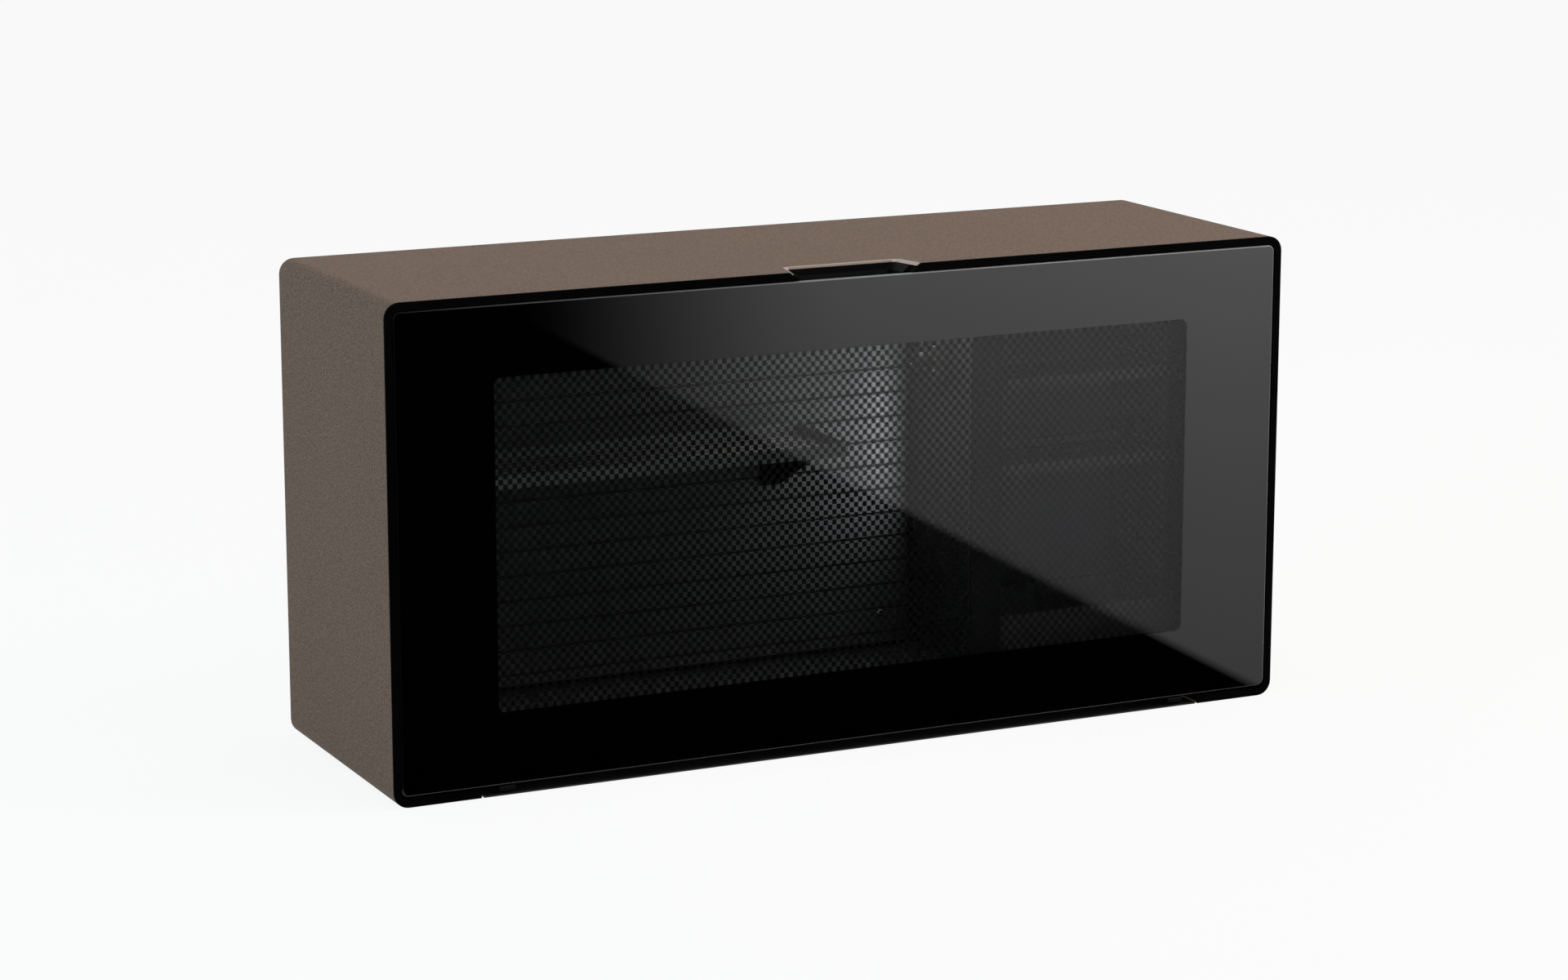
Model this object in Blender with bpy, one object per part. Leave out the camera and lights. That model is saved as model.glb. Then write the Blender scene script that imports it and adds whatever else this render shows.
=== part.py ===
"""Glass door minibar fridge: a wide, shallow cabinet that hangs on a wall or stands on a shelf.

A folded sheet casing holds a moulded front frame, two liners in foam and a thermoelectric cooler.
The door is a drop-down flap with two panes. It turns on two small hinges under its lower edge.
Metres, +Z up, front towards -Y. The origin is the middle of the casing's underside.
"""
import math

import bmesh
import bpy
from mathutils import Matrix, Vector

# Casing
WIDTH = 0.905
HEIGHT = 0.450
DEPTH = 0.277
CORNER_R = 0.014
SHEET = 0.0015
GAP = 0.0003
EDGE = 0.0008

# Front frame and the slot under the door
CAP = 0.0015
REVEAL = 0.001
REVEAL_FOOT = 0.002
POCKET = 0.0255
FLANGE = 0.003
SLOT_END = 0.0825
SLOT_DEEP = 0.030
DUCT_HIGH = 0.012
STRIP = 0.0012
STRIP_SLIT = 0.0023
STRIP_TAB = 0.015

# Finger recess in the middle of the top edge
NOTCH_FRONT_HALF = 0.067
NOTCH_REAR_HALF = 0.0595
NOTCH_DEEP = 0.033
NOTCH_LOW = 0.0235
NOTCH_R = 0.005
NOTCH_R_LEAST = 0.001
NOTCH_STEPS = 5
NOTCH_FLARE = 0.011
FLARE_GAP = 0.0002
SCOOP_WALL = 0.0022
SCOOP_LEAN = 0.003
SCOOP_FLOOR = 0.002
TRIM_HIGH = 0.0024
TRIM_WIDE = 0.0012
TRIM_EDGE = 0.0006

# Door
GLASS_SIDE = 0.008
GLASS_TOP = 0.0085
GLASS_FOOT = 0.010
GLASS_R = 0.006
PANE = 0.004
GLASS_BEVEL = 0.001
FRAME_INSET = 0.003
FRAME_DEEP = 0.0162
FRAME_R = 0.004
VIEW_SIDE = 0.0395
VIEW_FOOT = 0.042
VIEW_TOP = 0.0445
VIEW_R = 0.006
REBATE = 0.006
SPACER_WIDE = 0.007
GASKET_SIDE = 0.0115
GASKET_FOOT = 0.014
GASKET_TOP = 0.0225
GASKET_WIDE = 0.012
GASKET_R = 0.014
LIP_THICK = 0.0037

# Hinges
AXIS_BACK = 0.003
AXIS_HIGH = 0.0062
HINGE_IN = 0.025
KNUCKLE_R = 0.003
PIN_R = 0.0015
PIN_OUT = 0.001
ARM_WIDE = 0.006
LUG_WIDE = 0.0042
LUG_WEB = 0.004
BRACKET_HALF = 0.015
BRACKET_PLATE = 0.002
BRACKET_TOP = 0.020
CLEVIS_HALF = 0.012
CLEVIS_DEEP = 0.014
CLEVIS_PLATE = 0.0027

# Insides, measured in from the casing's outer faces
CABIN_SIDE = 0.045
COLUMN_SIDE = 0.079
COLUMN_WIDE = 0.208
DIVIDER = 0.031
INSIDE_FOOT = 0.050
INSIDE_HEAD = 0.050
INSIDE_R = 0.006
LINER = 0.002
FOAM_BACK = 0.030

# Slatted back panel
PANEL_OUT = 0.028
PANEL_THICK = 0.006
PANEL_EDGE = 0.002
PANEL_END = 0.006
SLAT_PITCH = 0.0235
GROOVE = 0.0027
GROOVE_DEEP = 0.003
BOSS_R = 0.005
BOSS_IN = 0.030

# Shelf and trays
FITTING_FRONT = 0.0127
SHELF_DROP = 0.132
SHELF_BAY = 0.1195
SHELF_THICK = 0.0025
SHELF_LIP = 0.012
LEDGE = 0.006
LEDGE_THICK = 0.004
BRACKET_ARM = 0.075
BRACKET_FOOT = 0.045
BRACKET_NOSE = 0.006
BRACKET_SHEET = 0.002
BRACKET_WEB_IN = 0.020
BRACKET_SEAT_IN = 0.040
BRACKET_SEAT_WIDE = 0.0215
TRAY_SIDE = 0.0045
TRAY_WALL = 0.002
TRAY_R = 0.010
TRAY_RIB = 0.009
TOP_TRAY_DROP = 0.085
TOP_TRAY_HIGH = 0.011
MIDDLE_TRAY_DROP = 0.167
MIDDLE_TRAY_HIGH = 0.010
BIN_HIGH = 0.048

# Light and thermostat
LIGHT_LEFT = 0.230
LIGHT_RIGHT = 0.012
LIGHT_IN = 0.005
LIGHT_DEEP = 0.015
LIGHT_HIGH = 0.0097
LENS_IN = 0.001
LENS_END = 0.002
LENS_RIM = 0.0004
LENS_BULGE = 0.003
STAT_IN = 0.060
STAT_DROP = 0.055
STAT_LONG = 0.040
STAT_HIGH = 0.050
STAT_THICK = 0.014
STAT_R = 0.006
KNOB_R = 0.013
KNOB_THICK = 0.014
KNOB_SKIRT = 0.003
POINTER_WIDE = 0.0012
POINTER_DEEP = 0.0008

# Cooler: the thermoelectric module, its two sinks and its two fans
COOLER_SHARE = 0.512
COLD_FAN_SHARE = 0.807
COOLER_RISE = 0.015
MODULE_HALF = 0.020
MODULE_THICK = 0.005
COLD_HALF = 0.050
COLD_BASE = 0.0047
COLD_FIN = 0.0135
COLD_FINS = 15
HOT_HALF = 0.060
HOT_BASE = 0.005
HOT_FIN = 0.0207
HOT_FINS = 17
FIN_THICK = 0.0012
HOT_FAN_HALF = 0.046
HOT_FAN_DEEP = 0.0254
COLD_FAN_HALF = 0.030
COLD_FAN_DEEP = 0.0125
FAN_WALL = 0.0035
FAN_R = 0.004
FAN_TIP = 0.0012
HUB_SHARE = 0.36
STRUT = 0.004
STRUT_THICK = 0.003
ROTOR_FRONT = 0.0015
ROTOR_REAR = 0.0005
BLADE_IN = 0.001
BLADES = 7
BLADE_THICK = 0.0012
BLADE_TWIST = math.radians(40)
BLADE_FLARE = 0.55
BLADE_SWEEP = math.radians(14)

# Back of the cabinet
BACK_INSET = 0.013
BACK_SHEET = 0.0015
BACK_LIP = 0.010
VENT_HIGH = 0.004
VENT_PITCH = 0.009
VENT_ROWS = 9
INTAKE_WIDE = 0.160
INTAKE_ROWS = 5
INTAKE_Z = 0.065
SUPPLY_IN = 0.2025
SUPPLY_Z = 0.105
SUPPLY_WIDE = 0.150
SUPPLY_HIGH = 0.090
SUPPLY_DEEP = 0.040
CONTROL_IN = 0.0525
CONTROL_Z = 0.205
CONTROL_WIDE = 0.060
CONTROL_HIGH = 0.110
CONTROL_DEEP = 0.028
INLET_IN = 0.0575
INLET_Z = 0.085
INLET_WIDE = 0.028
INLET_HIGH = 0.020
INLET_DEEP = 0.024
INLET_FLANGE = 0.004
INLET_PLATE = 0.002
INLET_WALL = 0.002
PIN_HALF_WIDE = 0.001
PIN_HALF_HIGH = 0.002
PIN_LONG = 0.011
PIN_PITCH = 0.007
PIN_DROP = 0.001
RAIL_END = 0.1525
RAIL_DROP = 0.020
RAIL_HIGH = 0.030
RAIL_SHEET = 0.0015
RAIL_HOOK = 0.0265
BUFFER_IN = 0.0725
BUFFER_Z = 0.045
BUFFER_R = 0.012
BUFFER_NOSE = 0.003

# Door catches
CATCH_IN = 0.2025
CATCH_HALF = 0.015
CATCH_DROP = 0.019
CATCH_HIGH = 0.010
MAGNET = 0.0024
STRIKER = 0.0015

# Faces and levels that follow from the sizes above
LEFT = -WIDTH / 2
RIGHT = WIDTH / 2
FRONT = -DEPTH / 2
BACK = DEPTH / 2
FLANGE_FRONT = FRONT + POCKET
FLANGE_REAR = FLANGE_FRONT + FLANGE
LINING_FRONT = FLANGE_REAR + GAP
BACK_REAR = BACK - BACK_INSET
BACK_FRONT = BACK_REAR - BACK_SHEET
HOT_FAN_FRONT = BACK_FRONT - GAP - HOT_FAN_DEEP
FOAM_REAR = HOT_FAN_FRONT - GAP - HOT_FIN - HOT_BASE - GAP
LINER_REAR = FOAM_REAR - FOAM_BACK
INSIDE_BACK = LINER_REAR - LINER
SKIN = SHEET + GAP
CABIN_X0 = LEFT + CABIN_SIDE
COLUMN_X1 = RIGHT - COLUMN_SIDE
COLUMN_X0 = COLUMN_X1 - COLUMN_WIDE
CABIN_X1 = COLUMN_X0 - DIVIDER
INSIDE_Z0 = INSIDE_FOOT
INSIDE_Z1 = HEIGHT - INSIDE_HEAD
SLOT_HALF = RIGHT - SLOT_END
HINGE_X = SLOT_HALF - HINGE_IN
SHELF_X1 = CABIN_X1 - SHELF_BAY
SHELF_Z = INSIDE_Z1 - SHELF_DROP
TOP_TRAY_Z = INSIDE_Z1 - TOP_TRAY_DROP
MIDDLE_TRAY_Z = INSIDE_Z1 - MIDDLE_TRAY_DROP
STAT_Y = FLANGE_REAR + STAT_IN
STAT_Z = INSIDE_Z1 - STAT_DROP
COOLER_X = CABIN_X0 + (CABIN_X1 - CABIN_X0) * COOLER_SHARE
COLD_FAN_X = CABIN_X0 + (CABIN_X1 - CABIN_X0) * COLD_FAN_SHARE
COOLER_Z = (INSIDE_Z0 + INSIDE_Z1) / 2 + COOLER_RISE
SUPPLY_X = RIGHT - SUPPLY_IN
CONTROL_X = RIGHT - CONTROL_IN
INLET_X = RIGHT - INLET_IN
RAIL_HALF = RIGHT - RAIL_END
RAIL_TOP = HEIGHT - RAIL_DROP
BUFFER_X = RIGHT - BUFFER_IN
CATCH_X = RIGHT - CATCH_IN
CATCH_Z = HEIGHT - CATCH_DROP
PANEL_FRONT = INSIDE_BACK - PANEL_OUT
PANEL_REAR = PANEL_FRONT + PANEL_THICK
FITTINGS_FRONT = FLANGE_REAR + FITTING_FRONT
FITTINGS_BACK = PANEL_FRONT - GAP
GLASS_REAR = FRONT + PANE
FRAME_FRONT = GLASS_REAR + GAP
FRAME_REAR = FRAME_FRONT + FRAME_DEEP
FRAME_TOP = HEIGHT - GLASS_TOP - FRAME_INSET
VIEW_HEAD = HEIGHT - GLASS_TOP - VIEW_TOP
NOTCH_FLOOR = HEIGHT - NOTCH_LOW
PULL_HALF = NOTCH_FRONT_HALF + REVEAL
AXIS = Vector((0.0, FRONT + AXIS_BACK, AXIS_HIGH))
OVER = 0.01
STEP = 0.0001


def material(name, colour, roughness, metallic=0.0, transmission=0.0, ior=1.45):
    """A Principled material from an sRGB colour in hex."""
    found = bpy.data.materials.get(name)
    if found:
        return found
    made = bpy.data.materials.new(name)
    made.use_nodes = True
    shader = made.node_tree.nodes["Principled BSDF"]
    linear = [(int(colour[i:i + 2], 16) / 255) ** 2.2 for i in (1, 3, 5)]
    shader.inputs["Base Color"].default_value = (*linear, 1.0)
    shader.inputs["Roughness"].default_value = roughness
    shader.inputs["Metallic"].default_value = metallic
    shader.inputs["Transmission Weight"].default_value = transmission
    shader.inputs["IOR"].default_value = ior
    made.diffuse_color = (*linear, 1.0)
    return made


def point(axis, u, v, along):
    """A point in space: u and v lie in the plane across the axis, in x, y, z order."""
    if axis == "X":
        return Vector((along, u, v))
    if axis == "Y":
        return Vector((u, along, v))
    return Vector((u, v, along))


def finish(name, mesh, look, smooth_angle=None):
    """Put a mesh in the scene as one named object."""
    piece = bpy.data.objects.new(name, mesh)
    bpy.context.scene.collection.objects.link(piece)
    if look is None:
        piece.hide_render = True
        piece.display_type = "WIRE"
    else:
        mesh.materials.append(look)
    if smooth_angle is not None:
        mesh.shade_smooth()
        mesh.set_sharp_from_angle(angle=math.radians(smooth_angle))
    return piece


def from_bmesh(name, bm, look, smooth_angle=None):
    bmesh.ops.recalc_face_normals(bm, faces=bm.faces[:])
    mesh = bpy.data.meshes.new(name)
    bm.to_mesh(mesh)
    bm.free()
    return finish(name, mesh, look, smooth_angle)


def rounded(u0, u1, v0, v1, radius, steps=6):
    """A rectangle with round corners, anticlockwise."""
    corners = ((u1, v0, -90), (u1, v1, 0), (u0, v1, 90), (u0, v0, 180))
    loop = []
    for u, v, first in corners:
        mid_u = u - radius if u == u1 else u + radius
        mid_v = v - radius if v == v1 else v + radius
        for step in range(steps + 1):
            angle = math.radians(first + 90 * step / steps)
            loop.append((mid_u + radius * math.cos(angle), mid_v + radius * math.sin(angle)))
    return loop


def circle(u, v, radius, steps=24):
    turns = [2 * math.pi * i / steps for i in range(steps)]
    return [(u + radius * math.cos(turn), v + radius * math.sin(turn)) for turn in turns]


def swept(name, look, loop, axis, start, end, smooth_angle=None):
    """One outline carried straight along an axis."""
    bm = bmesh.new()
    face = bm.faces.new([bm.verts.new(point(axis, u, v, start)) for u, v in loop])
    grown = bmesh.ops.extrude_face_region(bm, geom=[face])["geom"]
    tops = [item for item in grown if isinstance(item, bmesh.types.BMVert)]
    bmesh.ops.translate(bm, verts=tops, vec=point(axis, 0.0, 0.0, end - start))
    return from_bmesh(name, bm, look, smooth_angle)


def lofted(name, look, rings, closed=False, smooth_angle=None):
    """Rings of points of the same count, joined one to the next."""
    bm = bmesh.new()
    rows = [[bm.verts.new(place) for place in ring] for ring in rings]
    count = len(rows[0])
    pairs = list(zip(rows, rows[1:]))
    if closed:
        pairs.append((rows[-1], rows[0]))
    for first, second in pairs:
        for i in range(count):
            j = (i + 1) % count
            bm.faces.new((first[i], first[j], second[j], second[i]))
    if not closed:
        bm.faces.new(rows[0])
        bm.faces.new(rows[-1])
    return from_bmesh(name, bm, look, smooth_angle)


def ring_of(name, look, rect, section, smooth_angle=None):
    """A closed frame in the XZ plane: each section point is an inset from the rectangle and a y."""
    x0, x1, z0, z1, radius = rect
    rings = []
    for inset, y in section:
        loop = rounded(x0 + inset, x1 - inset, z0 + inset, z1 - inset, max(radius - inset, 0.0008))
        rings.append([point("Y", u, v, y) for u, v in loop])
    return lofted(name, look, rings, closed=True, smooth_angle=smooth_angle)


def block(name, look, low, high, bevel=0.0):
    """A box from its lowest to its highest corner."""
    loop = [(low[0], low[1]), (high[0], low[1]), (high[0], high[1]), (low[0], high[1])]
    piece = swept(name, look, loop, "Z", low[2], high[2])
    if bevel:
        soften(piece, bevel)
    return piece


def cutter_block(name, low, high):
    return block(name, None, low, high)


def turned(name, look, axis, middle, profile, steps=32, smooth_angle=35):
    """A round piece: profile points are a radius and a place along the axis."""
    rings = []
    for radius, along in profile:
        rings.append([point(axis, u, v, along) for u, v in circle(middle[0], middle[1], radius, steps)])
    return lofted(name, look, rings, smooth_angle=smooth_angle)


def soften(piece, width, segments=1, angle=40):
    edge = piece.modifiers.new("soft_edge", "BEVEL")
    edge.width = width
    edge.segments = segments
    edge.limit_method = "ANGLE"
    edge.angle_limit = math.radians(angle)
    return piece


def combine(piece, tools, operation):
    for tool in tools:
        step = piece.modifiers.new(tool.name, "BOOLEAN")
        step.operation = operation
        step.object = tool
        step.solver = "EXACT"
    return piece


def cut(piece, *tools):
    return combine(piece, tools, "DIFFERENCE")


def fuse(piece, *tools):
    return combine(piece, tools, "UNION")


def pivot(name, place):
    """An empty on a joint's axis."""
    empty = bpy.data.objects.new(name, None)
    empty.location = place
    bpy.context.scene.collection.objects.link(empty)
    return empty


def carry(empty, *pieces):
    """Parent pieces to an empty, with their origins on it."""
    for piece in pieces:
        piece.data.transform(Matrix.Translation(-empty.location))
        piece.parent = empty


# Shapes that several pieces share
def casing_rect(inset):
    return (LEFT + inset, RIGHT - inset, inset, HEIGHT - inset, CORNER_R - inset)


def glass_rect(grow=0.0, grow_foot=0.0):
    return (LEFT + GLASS_SIDE - grow, RIGHT - GLASS_SIDE + grow, GLASS_FOOT - grow_foot,
            HEIGHT - GLASS_TOP + grow, GLASS_R + grow)


def inside(x0, x1, grow=0.0):
    """The outline of one lined space, seen from the front."""
    return rounded(x0 - grow, x1 + grow, INSIDE_Z0 - grow, INSIDE_Z1 + grow, INSIDE_R + grow)


def notch_half(y, inset=0.0):
    """Half the finger recess's width at a depth y."""
    slope = (NOTCH_FRONT_HALF - NOTCH_REAR_HALF) / NOTCH_DEEP
    return NOTCH_FRONT_HALF - slope * (y - FRONT) - inset


def notch_loop(y0, y1, inset=0.0, drawn_in=0.0):
    """The recess's outline seen from above, each rear corner blended by a curve."""
    blend = max(NOTCH_R - inset, NOTCH_R_LEAST)
    front = Vector((notch_half(y0, inset + drawn_in), y0))
    corner = Vector((notch_half(y1, inset + drawn_in), y1))
    side = corner + (front - corner).normalized() * blend
    rear = corner - Vector((blend, 0.0))
    half = [front]
    for step in range(NOTCH_STEPS + 1):
        share = step / NOTCH_STEPS
        half.append(side.lerp(corner, share).lerp(corner.lerp(rear, share), share))
    return [(x, y) for x, y in half] + [(-x, y) for x, y in reversed(half)]


def notch_flare(z):
    """How far each side of the recess is drawn in at a height: it slopes down to the pane's top, then drops."""
    return NOTCH_FLARE * min((HEIGHT - z) / GLASS_TOP, 1.0)


def notch_cutter(name):
    rings = [recess_ring(FRONT - OVER, FRONT + NOTCH_DEEP, z)
             for z in (NOTCH_FLOOR, HEIGHT - GLASS_TOP, HEIGHT + OVER)]
    return lofted(name, None, rings)


def outer_casing(look):
    """One folded and welded sheet: top, sides and underside, with the notch and the slot cut out."""
    front = FRONT + CAP + GAP
    shell = ring_of("outer_casing", look, casing_rect(0.0),
                    [(0.0, front), (0.0, BACK), (SHEET, BACK), (SHEET, front)], 35)
    slot = cutter_block("casing_slot", (-SLOT_HALF, FRONT - OVER, -OVER),
                        (SLOT_HALF, FRONT + SLOT_DEEP, SKIN))
    return cut(shell, notch_cutter("casing_notch"), slot)


def front_frame(look):
    """The moulded rim round the door, with the flange behind it that the gasket seals on."""
    rim_outer = casing_rect(0.0)
    rim_inner = glass_rect(REVEAL, REVEAL_FOOT)
    wall_outer = casing_rect(SKIN)
    loops = ((rim_outer, FRONT), (rim_outer, FRONT + CAP), (wall_outer, FRONT + CAP),
             (wall_outer, FLANGE_REAR), (rim_inner, FLANGE_REAR), (rim_inner, FRONT))
    rings = []
    for rect, y in loops:
        rings.append([point("Y", u, v, y) for u, v in rounded(*rect)])
    frame = lofted("front_frame", look, rings, closed=True, smooth_angle=35)
    plate_loop = rounded(*casing_rect(SKIN + REVEAL))
    fuse(frame, swept("flange_plate", None, plate_loop, "Y", FLANGE_FRONT, FLANGE_REAR))
    cabin = swept("flange_cabin", None, inside(CABIN_X0, CABIN_X1), "Y",
                  FLANGE_FRONT - OVER, FLANGE_REAR + OVER)
    column = swept("flange_column", None, inside(COLUMN_X0, COLUMN_X1), "Y",
                   FLANGE_FRONT - OVER, FLANGE_REAR + OVER)
    slot = cutter_block("frame_slot", (-SLOT_HALF, FRONT - OVER, -OVER),
                        (SLOT_HALF, FLANGE_REAR + OVER, DUCT_HIGH))
    return cut(frame, cabin, column, slot, notch_cutter("frame_notch"))


def bottom_strip(look):
    """The thin strip that closes the slot's underside, with a slit at each end and a tab behind."""
    rear = FRONT + SLOT_DEEP - GAP
    step = rear - STRIP
    tab_z = SKIN
    loop = [(FRONT, 0.0), (rear, 0.0), (rear, tab_z), (rear + STRIP_TAB, tab_z),
            (rear + STRIP_TAB, tab_z + STRIP), (step, tab_z + STRIP), (step, STRIP), (FRONT, STRIP)]
    half = SLOT_HALF - STRIP_SLIT
    return swept("bottom_strip", look, loop, "X", -half, half)


def recess_ring(y0, y1, z, inset=0.0):
    """The recess's outline at a height, drawn in on the sides and moved inwards all round by an inset."""
    return [point("Z", x, y, z) for x, y in notch_loop(y0, y1 - inset, inset, notch_flare(z))]


def handle_scoop(look):
    """The moulded well behind the door's pull edge: flared sides, leaning walls, a floor and an open front."""
    y0 = GLASS_REAR + GAP + LIP_THICK + REVEAL
    y1 = FRONT + NOTCH_DEEP
    high = HEIGHT - TRIM_HIGH - GAP
    knee = HEIGHT - GLASS_TOP
    low = NOTCH_FLOOR + GAP
    side = GAP + FLARE_GAP
    shell = lofted("handle_scoop", look, [recess_ring(y0, y1, high, side), recess_ring(y0, y1, knee, side),
                                          recess_ring(y0, y1, low, side + SCOOP_LEAN)])
    wall = side + SCOOP_WALL
    well = lofted("scoop_well", None, [recess_ring(y0 - OVER, y1, high + OVER, wall),
                                       recess_ring(y0 - OVER, y1, knee, wall),
                                       recess_ring(y0 - OVER, y1, low + SCOOP_FLOOR, wall + SCOOP_LEAN)])
    return cut(shell, well)


def recess_trim(look):
    """The bright bead round the finger recess, flush with the top, its inner edge cut at an angle."""
    y0 = FRONT + CAP + GAP
    y1 = FRONT + NOTCH_DEEP
    low = HEIGHT - TRIM_HIGH
    outer = GAP + FLARE_GAP
    bead = lofted("recess_trim", look, [recess_ring(y0, y1, z, outer) for z in (low, HEIGHT)])
    inner = outer + TRIM_WIDE
    edge = inner - TRIM_EDGE
    rings = ((HEIGHT - GLASS_TOP, inner), (HEIGHT - TRIM_EDGE, inner), (HEIGHT, edge), (HEIGHT + OVER, edge))
    return cut(bead, lofted("trim_well", None, [recess_ring(y0 - OVER, y1, z, inset) for z, inset in rings]))


def insulation_foam(look):
    """The foam between the casing and the liners, with the air duct under it."""
    foam = swept("insulation_foam", look, rounded(*casing_rect(SKIN)), "Y", LINING_FRONT, FOAM_REAR)
    end = LINER_REAR + GAP
    cabin = swept("foam_cabin", None, inside(CABIN_X0, CABIN_X1, LINER + GAP), "Y",
                  LINING_FRONT - OVER, end)
    column = swept("foam_column", None, inside(COLUMN_X0, COLUMN_X1, LINER + GAP), "Y",
                   LINING_FRONT - OVER, end)
    duct = cutter_block("foam_duct", (-SLOT_HALF, LINING_FRONT - OVER, -OVER),
                        (SLOT_HALF, FOAM_REAR + OVER, DUCT_HIGH))
    return cut(foam, cabin, column, duct, notch_cutter("foam_notch"), cooler_hole("foam_cooler"))


def cooler_hole(name):
    half = MODULE_HALF + GAP
    return cutter_block(name, (COOLER_X - half, INSIDE_BACK - OVER, COOLER_Z - half),
                        (COOLER_X + half, FOAM_REAR + OVER, COOLER_Z + half))


def liner(name, look, x0, x1):
    """A moulded five-sided lining, open at the front."""
    shell = swept(name, look, inside(x0, x1, LINER), "Y", LINING_FRONT, LINER_REAR, 35)
    space = swept(name + "_space", None, inside(x0, x1), "Y", LINING_FRONT - OVER, INSIDE_BACK)
    return cut(shell, space)


def cabin_liner(look):
    shell = liner("cabin_liner", look, CABIN_X0, CABIN_X1)
    top = SHELF_Z - GAP
    ledge = cutter_block("shelf_ledge", (CABIN_X0 - LINER / 2, FITTINGS_FRONT, top - LEDGE_THICK),
                         (CABIN_X0 + LEDGE, FITTINGS_BACK, top))
    return cut(fuse(shell, ledge), cooler_hole("liner_cooler"))


def column_liner(look):
    """The lining of the narrow column, with a rib on each side under each tray."""
    shell = liner("column_liner", look, COLUMN_X0, COLUMN_X1)
    walls = ((COLUMN_X0 - LINER / 2, COLUMN_X0 + TRAY_RIB), (COLUMN_X1 - TRAY_RIB, COLUMN_X1 + LINER / 2))
    for tray, z in (("top", TOP_TRAY_Z), ("middle", MIDDLE_TRAY_Z)):
        for side, (x0, x1) in zip(("left", "right"), walls):
            rib = cutter_block(f"{tray}_rib_{side}", (x0, FITTINGS_FRONT, z - GAP - LEDGE_THICK),
                               (x1, FITTINGS_BACK, z - GAP))
            fuse(shell, rib)
    return shell


def back_slat_panel(look):
    """The grooved panel that hides the cold sink, on bosses that reach the liner."""
    z0 = INSIDE_Z0 + PANEL_END
    z1 = INSIDE_Z1 - PANEL_END
    loop = [(PANEL_REAR, z0), (PANEL_REAR, z1), (PANEL_FRONT, z1)]
    count = int((z1 - z0 - GROOVE) / SLAT_PITCH)
    for i in range(count):
        z = z1 - (i + 1) * SLAT_PITCH
        floor = PANEL_FRONT + GROOVE_DEEP
        loop += [(PANEL_FRONT, z + GROOVE), (floor, z + GROOVE * 0.75),
                 (floor, z + GROOVE * 0.25), (PANEL_FRONT, z)]
    loop.append((PANEL_FRONT, z0))
    x0 = CABIN_X0 + PANEL_EDGE
    x1 = CABIN_X1 - PANEL_EDGE
    panel = swept("back_slat_panel", look, loop, "X", x0, x1)
    for column, x in enumerate((x0 + BOSS_IN, x1 - BOSS_IN)):
        for row, z in enumerate((z0 + BOSS_IN, z1 - BOSS_IN)):
            boss = swept(f"panel_boss_{column}_{row}", None, circle(x, z, BOSS_R, 16), "Y",
                         PANEL_REAR - PANEL_THICK / 4, INSIDE_BACK - GAP)
            fuse(panel, boss)
    return panel


def tray(name, look, x0, x1, z0, high, wall, radius):
    """An open tray with round corners, seen from above."""
    outer = rounded(x0, x1, FITTINGS_FRONT, FITTINGS_BACK, radius)
    inner = rounded(x0 + wall, x1 - wall, FITTINGS_FRONT + wall, FITTINGS_BACK - wall, radius - wall)
    shell = swept(name, look, outer, "Z", z0, z0 + high, 35)
    space = swept(name + "_space", None, inner, "Z", z0 + wall, z0 + high + OVER)
    return cut(shell, space)


def cabin_shelf(look):
    return tray("cabin_shelf", look, CABIN_X0 + GAP, SHELF_X1, SHELF_Z, SHELF_LIP, SHELF_THICK,
                TRAY_WALL + SHELF_THICK)


def shelf_bracket(look):
    """The steel bracket under the shelf's free end, fixed to the slatted panel."""
    top = SHELF_Z - GAP
    front = FITTINGS_BACK - BRACKET_ARM
    low = top - BRACKET_FOOT
    web_x = SHELF_X1 - BRACKET_WEB_IN
    seat_x = SHELF_X1 - BRACKET_SEAT_IN
    loop = [(FITTINGS_BACK, top), (front, top), (front, top - BRACKET_NOSE), (FITTINGS_BACK, low)]
    web = swept("shelf_bracket", look, loop, "X", web_x, web_x + BRACKET_SHEET)
    plate = cutter_block("bracket_plate", (seat_x, FITTINGS_BACK - BRACKET_SHEET, low),
                         (seat_x + BRACKET_SEAT_WIDE, FITTINGS_BACK, top))
    seat = cutter_block("bracket_seat", (seat_x, front, top - BRACKET_SHEET),
                        (seat_x + BRACKET_SEAT_WIDE, FITTINGS_BACK - BRACKET_SHEET / 2, top))
    return fuse(web, plate, seat)


def light_bar(housing_look, diffuser_look):
    """The lamp under the cabin's ceiling, behind the door, and the lens under it."""
    y0 = FLANGE_REAR + LIGHT_IN
    y1 = y0 + LIGHT_DEEP
    z1 = INSIDE_Z1 - GAP
    z0 = z1 - LIGHT_HIGH
    x0 = CABIN_X0 + LIGHT_LEFT
    x1 = CABIN_X1 - LIGHT_RIGHT
    block("light_housing", housing_look, (x0, y0, z0), (x1, y1, z1), EDGE)
    lens_top = z0 - GAP
    lens_half = LIGHT_DEEP / 2 - LENS_IN
    loop = [(y0 + LENS_IN, lens_top), (y1 - LENS_IN, lens_top)]
    for step in range(7):
        angle = math.pi * step / 6
        loop.append(((y0 + y1) / 2 + lens_half * math.cos(angle),
                     lens_top - LENS_RIM - (LENS_BULGE - LENS_RIM) * math.sin(angle)))
    swept("light_lens", diffuser_look, loop, "X", x0 + LENS_END, x1 - LENS_END, 35)


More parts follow.
